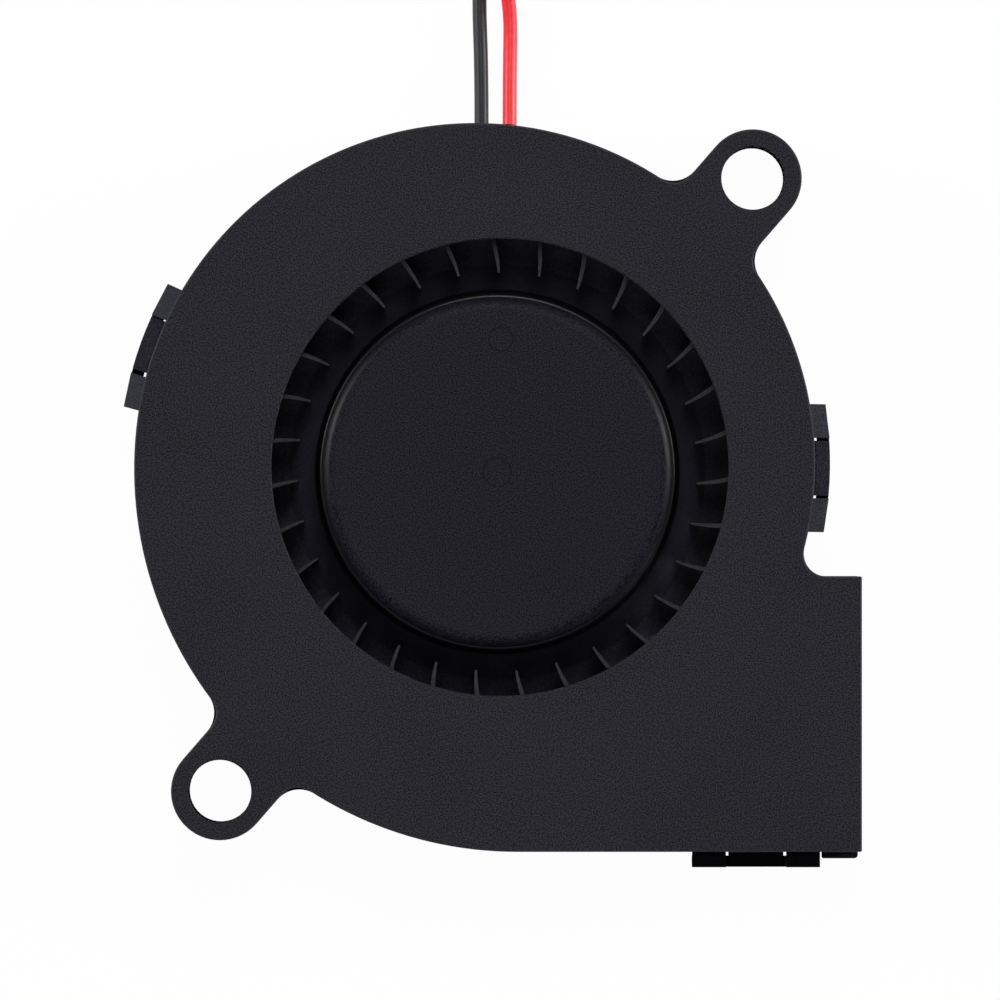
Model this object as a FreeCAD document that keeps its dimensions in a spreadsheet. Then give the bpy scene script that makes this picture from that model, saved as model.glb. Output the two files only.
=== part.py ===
import FreeCAD, Part
import math
import os
import Sketcher
from FreeCAD import Vector

# Radial blower fan, lying on its back. The origin is on the impeller's axis, in the plane of
# the back face. +Z is the axis, towards the intake; the air leaves through the mouth on +X.
# Every size below is in millimetres, or in degrees where its name ends in angle or sweep.

SIZES = {
    # Shaft and bearing
    "shaft_radius": 1.0,
    "running_clearance": 0.02,
    "seat_clearance": 0.02,
    "sleeve_wall": 1.2,
    "sleeve_gap": 0.3,
    "tube_wall": 0.9,
    "thrust_pad_thickness": 0.35,
    "groove_radius": 0.7,
    "groove_width": 0.55,
    "washer_thickness": 0.35,
    "washer_reach": 1.0,
    # Stator, magnet and yoke, counted outwards from the bearing tube
    "pole_reach": 6.14,
    "pole_width": 1.9,
    "pole_shoe_depth": 1.0,
    "pole_shoe_width": 9.8,
    "core_ring_wall": 1.3,
    "core_height": 4.0,
    "core_lift": 5.7,
    "pole_count": 4,
    "bobbin_skin": 0.4,
    "bobbin_flange": 0.6,
    "bobbin_rise": 1.5,
    "coil_depth": 1.1,
    "coil_gap": 0.12,
    "air_gap": 0.4,
    "magnet_thickness": 1.25,
    "magnet_height": 8.2,
    "yoke_thickness": 0.5,
    "yoke_hole_radius": 4.6,
    # Circuit board under the stator
    "board_thickness": 0.6,
    "board_lift": 2.4,
    "board_margin": 0.6,
    "post_radius": 0.8,
    "post_ring": 6.4,
    "post_count": 3,
    "pin_radius": 0.25,
    "pin_ring": 5.6,
    "pin_start_angle": -45.0,
    "pin_step_angle": 90.0,
    "pin_count": 3,
    "hall_place": 8.1,
    "hall_width": 1.4,
    "hall_depth": 1.2,
    "hall_height": 1.0,
    "driver_place": 6.8,
    "driver_width": 2.6,
    "driver_length": 3.0,
    "driver_height": 0.9,
    "chip_place": 6.4,
    "chip_length": 1.6,
    "chip_width": 0.8,
    "chip_spacing": 1.4,
    "capacitor_height": 0.7,
    "resistor_height": 0.45,
    # Impeller
    "hub_wall": 0.96,
    "hub_draft": 0.35,
    "hub_cap": 1.0,
    "hub_recess": 0.6,
    "hub_round": 1.05,
    "bush_radius": 2.2,
    "bush_length": 2.2,
    "boss_wall": 0.8,
    "flare_width": 1.78,
    "flare_height": 2.6,
    "ring_lift": 2.6,
    "ring_thickness": 0.9,
    "blade_count": 31,
    "blade_inset": 1.17,
    "blade_reach": 5.31,
    "blade_root_thickness": 0.17,
    "blade_tip_thickness": 0.35,
    "blade_front_radius": 15.5,
    "blade_back_radius": 10.5,
    "blade_tip_sweep": 5.1,
    "blade_start_angle": 8.29,
    "blade_top_gap": 0.9,
    # Scroll housing
    "body_depth": 15.0,
    "cover_thickness": 1.2,
    "floor_thickness": 1.2,
    "wall": 1.1,
    "volute_gap": 3.465,
    "scroll_shift_x": -1.585,
    "scroll_shift_y": 0.61,
    "scroll_growth": 2.98,
    "scroll_join_angle": 172.3,
    "mouth_run": 2.474,
    "mouth_top_drop": 7.31,
    "mouth_corner_round": 0.3,
    "tongue_round": 1.6,
    "edge_bevel": 0.2,
    # Intake, a little off the impeller's axis as on the real cover
    "intake_overlap": 3.27,
    "intake_shift_x": 0.18,
    "intake_shift_y": 0.32,
    # Ears
    "ear_angle": 49.0,
    "ear_radius": 3.43,
    "ear_hole_radius": 2.2,
    "upper_ear_standoff": 3.425,
    "lower_ear_standoff": 2.815,
    "cover_neck_round": 1.5,
    "base_neck_round": 2.0,
    # Cover lip and snap clips
    "lip_depth": 0.8,
    "lip_width": 0.7,
    "lip_clearance": 0.12,
    "clip_width": 8.97,
    "clip_reach": 1.08,
    "clip_gap": 0.3,
    "clip_drop": 0.35,
    "clip_tail": 6.4,
    "clip_bar": 1.5,
    "catch_width": 3.85,
    "catch_slot": 0.22,
    "catch_height": 2.4,
    "catch_tip_gap": 0.1,
    "left_clip_angle": 160.0,
    "right_clip_angle": -0.8,
    "mouth_clip_setback": 7.417,
    "rib_setback": 0.28,
    "rib_width": 2.45,
    "rib_reach": 0.46,
    "rib_round": 0.25,
    # Leads and their run across the back
    "lead_radius": 0.5,
    "lead_height": 0.85,
    "black_lead_place": -1.12,
    "red_lead_place": 0.86,
    "lead_gap": 0.05,
    "lead_shift": 0.3,
    "groove_clearance": 0.1,
    "hump_skin": 0.5,
    "lead_start": 8.4,
    "lead_rise": 0.9,
    "slot_start": 7.2,
    "slot_end": 13.6,
    "bridge_start": 19.0,
    "bridge_length": 1.6,
    # Put-away coil of the leads, and the connector
    "coil_place_x": -8.3,
    "coil_place_y": 45.0,
    "coil_inner_radius": 3.5,
    "coil_width": 4.25,
    "coil_layer_height": 2.1,
    "coil_meeting": 4.0,
    "tie_thickness": 0.3,
    "tie_width": 2.0,
    "tie_clearance": 0.15,
    "connector_width": 7.4,
    "connector_height": 5.75,
    "connector_length": 9.8,
    "connector_place_x": 0.0,
    "connector_place_y": 57.0,
    "connector_rib_place": 2.3,
    "connector_rib_width": 0.8,
    "connector_rib_height": 0.5,
    "connector_rib_start": 2.45,
    "contact_pitch": 2.54,
    "contact_size": 1.7,
    "contact_setback": 1.0,
    "latch_start": 4.9,
    "latch_length": 1.96,
    # Cuts run this far past the faces they open
    "overrun": 1.0,
}

# Directions in a drawing and a whole turn, in degrees
UP = 90
LEFT = 180
DOWN = 270
FULL_TURN = 360

doc = FreeCAD.newDocument("BlowerFan")
sheet = doc.addObject("Spreadsheet::Sheet", "Sizes")
for row, (alias, number) in enumerate(SIZES.items(), start=1):
    sheet.set(f"A{row}", alias)
    sheet.set(f"B{row}", str(number))
    sheet.setAlias(f"B{row}", alias)
doc.recompute()


class Size:
    """A length, angle or count: its value now, and the sheet formula that gives it."""

    def __init__(self, value, formula):
        self.value = value
        self.formula = formula

    def __add__(self, other):
        other = as_size(other)
        return Size(self.value + other.value, f"({self.formula} + {other.formula})")

    def __sub__(self, other):
        other = as_size(other)
        return Size(self.value - other.value, f"({self.formula} - {other.formula})")

    def __mul__(self, other):
        other = as_size(other)
        return Size(self.value * other.value, f"({self.formula} * {other.formula})")

    def __truediv__(self, other):
        other = as_size(other)
        return Size(self.value / other.value, f"({self.formula} / {other.formula})")

    def __radd__(self, other):
        return as_size(other) + self

    def __rsub__(self, other):
        return as_size(other) - self

    def __rmul__(self, other):
        return as_size(other) * self

    def __neg__(self):
        return Size(-self.value, f"(0 - {self.formula})")


def as_size(number):
    """A plain number becomes a size of that value; a size stays as it is."""
    if isinstance(number, Size):
        return number
    return Size(float(number), f"({float(number)})")


def of(name):
    """The driving size of that name."""
    return Size(SIZES[name], f"Sizes.{name}")


def cosine(angle):
    angle = as_size(angle)
    return Size(math.cos(math.radians(angle.value)), f"cos({angle.formula} * 1deg)")


def sine(angle):
    angle = as_size(angle)
    return Size(math.sin(math.radians(angle.value)), f"sin({angle.formula} * 1deg)")


def root(size):
    return Size(math.sqrt(size.value), f"sqrt({size.formula})")


def bind(item, path, size):
    """Drive a property from the sheet."""
    item.setExpression(path, as_size(size).formula)


class Drawing:
    """A sketch in one of a body's origin planes, every point and radius driven by the sheet."""

    def __init__(self, body, name, height=0, turn=0, place=(0, 0), upright=False):
        self.sketch = body.newObject("Sketcher::SketchObject", name)
        role = "XZ_Plane" if upright else "XY_Plane"
        plane = next(item for item in body.Origin.OriginFeatures if item.Role == role)
        self.sketch.AttachmentSupport = [(plane, "")]
        self.sketch.MapMode = "FlatFace"
        bind(self.sketch, "AttachmentOffset.Base.x", place[0])
        bind(self.sketch, "AttachmentOffset.Base.y", place[1])
        bind(self.sketch, "AttachmentOffset.Base.z", height)
        turn = as_size(turn)
        self.sketch.setExpression("AttachmentOffset.Rotation.Angle", f"{turn.formula} * 1deg")

    def measure(self, constraint, size):
        """Add a constraint whose number comes from the sheet."""
        index = self.sketch.addConstraint(constraint)
        self.sketch.setExpression(f"Constraints[{index}]", as_size(size).formula)

    def pin(self, edge, end, x, y):
        """Fix an edge's end (1 start, 2 end, 3 centre) at x, y."""
        for kind, place, axis in (("DistanceX", x, -2), ("DistanceY", y, -1)):
            place = as_size(place)
            if abs(place.value) < 1e-9:
                self.sketch.addConstraint(Sketcher.Constraint("PointOnObject", edge, end, axis))
            else:
                self.measure(Sketcher.Constraint(kind, -1, 1, edge, end, place.value), place)

    def join(self, edge, end, other, other_end, smooth=False):
        """Let two edges meet end to end, smoothly or with a corner."""
        kind = "Tangent" if smooth else "Coincident"
        self.sketch.addConstraint(Sketcher.Constraint(kind, edge, end, other, other_end))

    def line(self, start, end):
        first = Vector(as_size(start[0]).value, as_size(start[1]).value, 0)
        last = Vector(as_size(end[0]).value, as_size(end[1]).value, 0)
        return self.sketch.addGeometry(Part.LineSegment(first, last))

    def arc(self, centre, radius, start_angle, end_angle):
        """A counter-clockwise arc between two angles in degrees."""
        middle = Vector(as_size(centre[0]).value, as_size(centre[1]).value, 0)
        circle = Part.Circle(middle, Vector(0, 0, 1), as_size(radius).value)
        start, end = math.radians(start_angle), math.radians(end_angle)
        return self.sketch.addGeometry(Part.ArcOfCircle(circle, start, end))

    def radius(self, edge, size):
        size = as_size(size)
        self.measure(Sketcher.Constraint("Radius", edge, size.value), size)

    def circle(self, radius, x=0, y=0):
        radius, x, y = as_size(radius), as_size(x), as_size(y)
        round_line = Part.Circle(Vector(x.value, y.value, 0), Vector(0, 0, 1), radius.value)
        edge = self.sketch.addGeometry(round_line)
        self.radius(edge, radius)
        self.pin(edge, 3, x, y)
        return self

    def polygon(self, points):
        """A closed loop of straight lines through the points."""
        pairs = list(zip(points, points[1:] + points[:1]))
        edges = [self.line(start, end) for start, end in pairs]
        for index, edge in enumerate(edges):
            self.join(edge, 2, edges[(index + 1) % len(edges)], 1)
            self.pin(edge, 1, *points[index])
        return self

    def rectangle(self, left, right, low, high):
        return self.polygon([(left, low), (right, low), (right, high), (left, high)])

    def slot(self, left, right, half_width):
        """A long hole shape along X, with round ends centred at left and right."""
        half_width = as_size(half_width)
        first = self.arc((left, 0), half_width, UP, DOWN)
        low = self.line((left, -half_width), (right, -half_width))
        last = self.arc((right, 0), half_width, -UP, UP)
        high = self.line((right, half_width), (left, half_width))
        self.join(first, 2, low, 1, smooth=True)
        self.join(low, 2, last, 1, smooth=True)
        self.join(last, 2, high, 1, smooth=True)
        self.join(high, 2, first, 1, smooth=True)
        for edge, place in ((first, left), (last, right)):
            self.radius(edge, half_width)
            self.pin(edge, 3, place, 0)
        return self

    def band(self, inner, outer, half_width):
        """A strip between two arcs about the sketch's origin, with its sides parallel to X."""
        inner, outer, half_width = as_size(inner), as_size(outer), as_size(half_width)
        spread = [math.degrees(math.asin(half_width.value / r.value)) for r in (inner, outer)]
        reach = [math.sqrt(r.value ** 2 - half_width.value ** 2) for r in (inner, outer)]
        near = self.arc((0, 0), inner, -spread[0], spread[0])
        far = self.arc((0, 0), outer, -spread[1], spread[1])
        low = self.line((reach[0], -half_width), (reach[1], -half_width))
        high = self.line((reach[1], half_width), (reach[0], half_width))
        self.join(near, 1, low, 1)
        self.join(low, 2, far, 1)
        self.join(far, 2, high, 1)
        self.join(high, 2, near, 2)
        for edge, size in ((near, inner), (far, outer)):
            self.radius(edge, size)
            self.pin(edge, 3, 0, 0)
        for edge, height in ((low, -half_width), (high, half_width)):
            self.sketch.addConstraint(Sketcher.Constraint("Horizontal", edge))
            self.measure(Sketcher.Constraint("DistanceY", -1, 1, edge, 1, height.value), height)
        return self

    def scroll(self, inset, mouth):
        """The scroll's outline: two arcs that widen towards the mouth, the mouth, the tongue.

        The outline lies inset inside the housing's own, and its mouth is open at x = mouth.
        """
        inset, mouth = as_size(inset), as_size(mouth)
        small = scroll_radius - inset
        large = small + of("scroll_growth")
        turn = of("scroll_join_angle")
        low = large_centre[1] - large
        top = -of("mouth_top_drop") - inset
        tongue = of("tongue_round") + inset
        tongue_angle = math.degrees(math.atan2((tongue_centre[1] - small_centre[1]).value,
                                               (tongue_centre[0] - small_centre[0]).value))
        upper = self.arc(small_centre, small, tongue_angle, turn.value)
        lower = self.arc(large_centre, large, turn.value, DOWN)
        bottom = self.line((large_centre[0], low), (mouth, low))
        side = self.line((mouth, low), (mouth, top))
        roof = self.line((mouth, top), (tongue_centre[0], top))
        nose = self.arc(tongue_centre, tongue, LEFT + tongue_angle, DOWN)
        self.join(upper, 2, lower, 1, smooth=True)
        self.join(lower, 2, bottom, 1, smooth=True)
        self.join(bottom, 2, side, 1)
        self.join(side, 2, roof, 1)
        self.join(roof, 2, nose, 2, smooth=True)
        self.join(nose, 1, upper, 1, smooth=True)
        for edge, size in ((upper, small), (lower, large), (nose, tongue)):
            self.radius(edge, size)
        self.pin(upper, 3, *small_centre)
        for edge, kind in ((bottom, "Horizontal"), (side, "Vertical"), (roof, "Horizontal")):
            self.sketch.addConstraint(Sketcher.Constraint(kind, edge))
        self.measure(Sketcher.Constraint("DistanceX", -1, 1, side, 1, mouth.value), mouth)
        self.measure(Sketcher.Constraint("DistanceY", -1, 1, roof, 1, top.value), top)
        rise = small * sine(turn)
        self.measure(Sketcher.Constraint("DistanceY", upper, 3, upper, 2, rise.value), rise)
        return self


def new_body(name):
    body = doc.addObject("PartDesign::Body", name)
    body.Label = name
    return body


def pad(body, drawing, length):
    """Raise a drawing along +Z."""
    feature = body.newObject("PartDesign::Pad", f"{drawing.sketch.Name}_pad")
    feature.Profile = drawing.sketch
    bind(feature, "Length", length)
    doc.recompute()
    return feature


def cut(body, drawing, length):
    """Cut a drawing's shape upwards out of the body, and make sure that something went."""
    before = body.Shape.Volume
    feature = body.newObject("PartDesign::Pocket", f"{drawing.sketch.Name}_cut")
    feature.Profile = drawing.sketch
    feature.Reversed = True
    bind(feature, "Length", length)
    doc.recompute()
    if not body.Shape.Volume < before:
        raise RuntimeError(f"{feature.Name} removes nothing")
    return feature


def loft(body, first, last):
    feature = body.newObject("PartDesign::AdditiveLoft", f"{first.sketch.Name}_loft")
    feature.Profile = first.sketch
    feature.Sections = [last.sketch]
    feature.Ruled = True
    doc.recompute()
    return feature


def polar(body, feature, count):
    """Repeat a feature around the body's Z axis."""
    pattern = body.newObject("PartDesign::PolarPattern", f"{feature.Name}_ring")
    pattern.Originals = [feature]
    axis = next(item for item in body.Origin.OriginFeatures if item.Role == "Z_Axis")
    pattern.Axis = (axis, [""])
    pattern.Angle = FULL_TURN
    bind(pattern, "Occurrences", count)
    body.Tip = pattern
    doc.recompute()
    return pattern


def treat_edges(body, kind, path, size, wanted):
    """Round or bevel every edge of the body that the test picks."""
    base = body.Tip
    names = [f"Edge{number}" for number, edge in enumerate(base.Shape.Edges, start=1)
             if wanted(edge)]
    feature = body.newObject(f"PartDesign::{kind}", f"{base.Name}_{kind}")
    feature.Base = (base, names)
    bind(feature, path, size)
    body.Tip = feature
    doc.recompute()
    return feature


def round_edges(body, radius, wanted):
    return treat_edges(body, "Fillet", "Radius", radius, wanted)


def bevel_rim(body, height):
    """Bevel every edge that lies in the level plane at that height."""
    def is_rim(edge):
        return all(abs(z - height.value) < 0.001 for z in (edge.BoundBox.ZMin, edge.BoundBox.ZMax))

    return treat_edges(body, "Chamfer", "Size", of("edge_bevel"), is_rim)


def upright_at(x, y):
    """A test that picks the upright edge at x, y."""
    def is_there(edge):
        box = edge.BoundBox
        level = box.ZLength < 0.01
        return not level and math.hypot(box.Center.x - x.value, box.Center.y - y.value) < 0.01

    return is_there


def turned(name, points):
    """A body of revolution about the Z axis; points are radius and height."""
    body = new_body(name)
    drawing = Drawing(body, f"{name}_profile", upright=True).polygon(points)
    feature = body.newObject("PartDesign::Revolution", f"{name}_turn")
    feature.Profile = drawing.sketch
    feature.ReferenceAxis = (drawing.sketch, ["V_Axis"])
    feature.Angle = FULL_TURN
    doc.recompute()
    return body


def turned_ring(name, inner, outer, low, high):
    return turned(name, [(inner, low), (outer, low), (outer, high), (inner, high)])


def block(name, left, right, front, back, low, high):
    """A box between six planes."""
    box = doc.addObject("Part::Box", name)
    box.Label = name
    for path, size in (("Length", right - left), ("Width", back - front), ("Height", high - low),
                       ("Placement.Base.x", left), ("Placement.Base.y", front),
                       ("Placement.Base.z", low)):
        bind(box, path, size)
    return box


def rod(name, radius, low, high, x=0, y=0):
    """An upright cylinder."""
    cylinder = doc.addObject("Part::Cylinder", name)
    cylinder.Label = name
    for path, size in (("Radius", radius), ("Height", high - low), ("Placement.Base.x", x),
                       ("Placement.Base.y", y), ("Placement.Base.z", low)):
        bind(cylinder, path, size)
    return cylinder


def difference(name, base, tool):
    shape = doc.addObject("Part::Cut", name)
    shape.Label = name
    shape.Base = base
    shape.Tool = tool
    return shape


def group(name, members):
    """Separate solids that share one node."""
    shape = doc.addObject("Part::Compound", name)
    shape.Label = name
    shape.Links = members
    return shape


# Places that several pieces share, worked out from the sheet

sleeve_bore = of("shaft_radius") + of("running_clearance")
sleeve_radius = sleeve_bore + of("sleeve_wall")
tube_bore = sleeve_radius + of("seat_clearance")
tube_radius = tube_bore + of("tube_wall")
core_bore = tube_radius + of("seat_clearance")
core_radius = core_bore + of("pole_reach")
magnet_bore = core_radius + of("air_gap")
magnet_radius = magnet_bore + of("magnet_thickness")
yoke_bore = magnet_radius + of("seat_clearance")
yoke_radius = yoke_bore + of("yoke_thickness")
hub_bore = yoke_radius + of("seat_clearance")
hub_radius = hub_bore + of("hub_wall")
hub_foot = hub_radius + of("hub_draft")
flare_radius = hub_foot + of("flare_width")
blade_root = hub_foot + of("blade_inset")
impeller_radius = blade_root + of("blade_reach")

wall_top = of("body_depth") - of("cover_thickness")
pad_top = of("floor_thickness") + of("thrust_pad_thickness")
groove_low = pad_top + of("seat_clearance") + of("groove_width")
groove_high = groove_low + of("groove_width")
sleeve_low = groove_high + of("washer_thickness")
board_top = of("board_lift") + of("board_thickness")
core_top = of("core_lift") + of("core_height")
hub_top = of("body_depth") - of("hub_recess")
hub_ceiling = hub_top - of("hub_cap")
yoke_top = hub_ceiling - of("seat_clearance")
magnet_top = yoke_top - of("yoke_thickness") - of("seat_clearance")
magnet_low = magnet_top - of("magnet_height")
bush_top = hub_top - of("hub_cap") / 2
bush_low = bush_top - of("bush_length")
spacer_low = bush_low - of("seat_clearance") - of("washer_thickness")
sleeve_high = spacer_low - of("sleeve_gap")
tube_top = sleeve_high + of("seat_clearance")
ring_top = of("ring_lift") + of("ring_thickness")
blade_top = wall_top - of("blade_top_gap")

scroll_radius = impeller_radius + of("volute_gap") + of("wall")
small_centre = (of("scroll_shift_x"), of("scroll_shift_y"))
large_centre = (small_centre[0] - of("scroll_growth") * cosine(of("scroll_join_angle")),
                small_centre[1] - of("scroll_growth") * sine(of("scroll_join_angle")))
scroll_low = large_centre[1] - scroll_radius - of("scroll_growth")
tongue_height = of("tongue_round") - of("mouth_top_drop")
tongue_drop = tongue_height - small_centre[1]
tongue_distance = scroll_radius + of("tongue_round")
tongue_centre = (small_centre[0] + root(tongue_distance * tongue_distance
                                        - tongue_drop * tongue_drop), tongue_height)
mouth_reach = tongue_centre[0] + of("mouth_run")
upper_ear_reach = scroll_radius + of("upper_ear_standoff")
lower_ear_reach = scroll_radius + of("scroll_growth") + of("lower_ear_standoff")
intake_radius = impeller_radius - of("intake_overlap")

clip_top = of("body_depth") - of("clip_drop")
clip_low = clip_top - of("clip_tail")
bar_top = clip_low + of("clip_bar")
catch_low = bar_top + of("catch_tip_gap")
catch_top = catch_low + of("catch_height")

groove_half = of("lead_radius") + of("groove_clearance")
groove_depth = of("lead_height") + of("lead_radius") + of("groove_clearance")
hump_top = groove_depth + of("hump_skin")
lead_exit = small_centre[1] + scroll_radius


def outline(body, name, low, height):
    """Pad the scroll with its two ears, and round the mouth's corners and the ears' roots."""
    pad(body, Drawing(body, f"{name}_scroll", low).scroll(0, mouth_reach), height)
    for corner in (scroll_low, -of("mouth_top_drop")):
        round_edges(body, of("mouth_corner_round"), upright_at(mouth_reach, corner))
    ears = Drawing(body, f"{name}_ears", low, turn=of("ear_angle"))
    pad(body, ears.slot(-lower_ear_reach, upper_ear_reach, of("ear_radius")), height)
    along = Vector(math.cos(math.radians(SIZES["ear_angle"])),
                   math.sin(math.radians(SIZES["ear_angle"])), 0)

    def is_neck_root(edge):
        ends = [vertex.Point for vertex in edge.Vertexes]
        if len(ends) != 2 or abs(ends[0].z - ends[1].z) < 0.9 * height.value:
            return False
        spot = Vector(ends[0].x, ends[0].y, 0)
        beside = (spot - along * spot.dot(along)).Length
        at_side = abs(beside - SIZES["ear_radius"]) < 0.01
        reach = upper_ear_reach if spot.dot(along) > 0 else lower_ear_reach
        return at_side and abs(spot.dot(along)) < reach.value - 0.01

    round_edges(body, of(f"{name}_neck_round"), is_neck_root)


def ear_holes(body, name, low, height):
    holes = Drawing(body, f"{name}_ear_holes", low - of("overrun"), turn=of("ear_angle"))
    holes.circle(of("ear_hole_radius"), upper_ear_reach)
    holes.circle(of("ear_hole_radius"), -lower_ear_reach)
    cut(body, holes, height + of("overrun") * 2)


# The three clips: where each one's own X axis points away from the wall, the place of its
# sketch origin and the distance from there to the wall, which is curved or flat

CLIPS = {
    "left": (of("left_clip_angle"), small_centre, scroll_radius, True),
    "right": (of("right_clip_angle"), small_centre, scroll_radius, True),
    "mouth": (as_size(-UP), (mouth_reach - of("mouth_clip_setback"), as_size(0)),
              -scroll_low, False),
}


def clip_strip(body, name, clip, height, inner, outer, half_width):
    """A strip that follows the wall, between two distances outside it."""
    turn, place, wall_place, curved = CLIPS[clip]
    drawing = Drawing(body, f"{clip}_{name}", height, turn, place)
    if curved:
        return drawing.band(wall_place + inner, wall_place + outer, half_width)
    return drawing.rectangle(wall_place + inner, wall_place + outer, -half_width, half_width)


def make_base_housing():
    """The back plate with its scroll wall, ears, motor seat and the grooves for the leads."""
    body = new_body("base_housing")
    outline(body, "base", as_size(0), wall_top)
    bevel_rim(body, as_size(0))
    cavity = Drawing(body, "base_cavity", of("floor_thickness"))
    cut(body, cavity.scroll(of("wall"), mouth_reach + of("overrun")), wall_top)
    ear_holes(body, "base", as_size(0), wall_top)

    for clip in CLIPS:
        root = -of("wall") / 2
        half = of("catch_width") / 2
        foot = clip_strip(body, "catch_foot", clip, catch_low, root, of("clip_reach"), half)
        head = clip_strip(body, "catch_head", clip, catch_top, root, of("catch_tip_gap"), half)
        loft(body, foot, head)

    rib = Drawing(body, "base_rib")
    rib_right = mouth_reach - of("rib_setback")
    rib_low = scroll_low - of("rib_reach")
    rib.rectangle(rib_right - of("rib_width"), rib_right, rib_low, scroll_low + of("wall") / 2)
    pad(body, rib, wall_top - of("lip_depth"))
    round_edges(body, of("rib_round"), upright_at(rib_right, rib_low))

    tube = Drawing(body, "bearing_tube", of("floor_thickness")).circle(tube_radius)
    tube.circle(tube_bore)
    pad(body, tube, tube_top - of("floor_thickness"))
    posts = Drawing(body, "board_posts", of("floor_thickness") - of("seat_clearance"))
    for number in range(SIZES["post_count"]):
        angle = as_size(FULL_TURN * number) / of("post_count") - UP
        posts.circle(of("post_radius"), of("post_ring") * cosine(angle),
                     of("post_ring") * sine(angle))
    pad(body, posts, of("board_lift") - of("floor_thickness"))

    left = of("black_lead_place") - groove_half - of("hump_skin")
    right = of("red_lead_place") + groove_half + of("hump_skin")
    hump = Drawing(body, "lead_hump").rectangle(left, right, of("slot_end"),
                                                lead_exit - of("wall") / 2)
    pad(body, hump, hump_top)
    for name in ("black", "red"):
        middle = of(f"{name}_lead_place")
        groove = Drawing(body, f"{name}_groove", -of("overrun"))
        groove.rectangle(middle - groove_half, middle + groove_half,
                         of("slot_start"), lead_exit + of("overrun"))
        cut(body, groove, groove_depth + of("overrun"))
    slot = Drawing(body, "lead_slot", -of("overrun"))
    slot.rectangle(of("black_lead_place") - groove_half, of("red_lead_place") + groove_half,
                   of("slot_start"), of("slot_end"))
    cut(body, slot, of("floor_thickness") + of("overrun") * 2)
    bridge = Drawing(body, "lead_bridge")
    bridge.rectangle(left, right, of("bridge_start"), of("bridge_start") + of("bridge_length"))
    pad(body, bridge, of("lead_height") - of("lead_radius") - of("seat_clearance"))
    return body


def make_intake_cover():
    """The flat cover with the round intake, a lip that drops inside the wall, and snap loops."""
    body = new_body("intake_cover")
    outline(body, "cover", wall_top, of("cover_thickness"))
    bevel_rim(body, of("body_depth"))

    lip_outer = of("wall") + of("lip_clearance")
    lip_low = wall_top - of("lip_depth")
    lip = Drawing(body, "cover_lip", lip_low).scroll(lip_outer, mouth_reach)
    pad(body, lip, of("lip_depth"))
    inside = Drawing(body, "cover_lip_inside", lip_low)
    inside.scroll(lip_outer + of("lip_width"), mouth_reach + of("overrun"))
    cut(body, inside, of("lip_depth"))

    for clip in CLIPS:
        half = of("clip_width") / 2
        window = of("catch_width") / 2 + of("catch_slot")
        root = -of("wall") / 2
        loop = clip_strip(body, "loop", clip, clip_low, root, of("clip_reach"), half)
        pad(body, loop, clip_top - clip_low)
        gap = clip_strip(body, "loop_gap", clip, clip_low, root, of("clip_gap"), half)
        cut(body, gap, wall_top - clip_low)
        opening = clip_strip(body, "loop_window", clip, bar_top, 0,
                             of("clip_reach") + of("overrun"), window)
        cut(body, opening, clip_top - bar_top)

    intake = Drawing(body, "intake", lip_low, place=(of("intake_shift_x"), of("intake_shift_y")))
    cut(body, intake.circle(intake_radius), of("lip_depth") + of("cover_thickness"))
    ear_holes(body, "cover", wall_top, of("cover_thickness"))
    return body


def make_impeller():
    """The hub cup, the cone at its foot, the back ring and the curved blades on it."""
    bush_seat = of("bush_radius") + of("seat_clearance")
    boss_radius = bush_seat + of("boss_wall")
    body = turned("impeller", [
        (0, hub_top),
        (hub_radius, hub_top),
        (hub_foot, ring_top + of("flare_height")),
        (flare_radius, ring_top),
        (impeller_radius, ring_top),
        (impeller_radius, of("ring_lift")),
        (hub_bore, of("ring_lift")),
        (hub_bore, hub_ceiling),
        (boss_radius, hub_ceiling),
        (boss_radius, bush_low),
        (bush_seat, bush_low),
        (bush_seat, bush_top + of("seat_clearance")),
        (0, bush_top + of("seat_clearance")),
    ])

    def is_hub_rim(edge):
        flat = abs(edge.BoundBox.ZMax - hub_top.value) < 0.01 and edge.BoundBox.ZLength < 0.01
        return flat and abs(edge.BoundBox.XMax - hub_radius.value) < 0.01

    round_edges(body, of("hub_round"), is_hub_rim)
    blade = Drawing(body, "blade", ring_top - of("seat_clearance"), of("blade_start_angle"))
    draw_blade(blade)
    blade_pad = pad(body, blade, blade_top - ring_top + of("seat_clearance"))
    polar(body, blade_pad, of("blade_count"))
    return body


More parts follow.
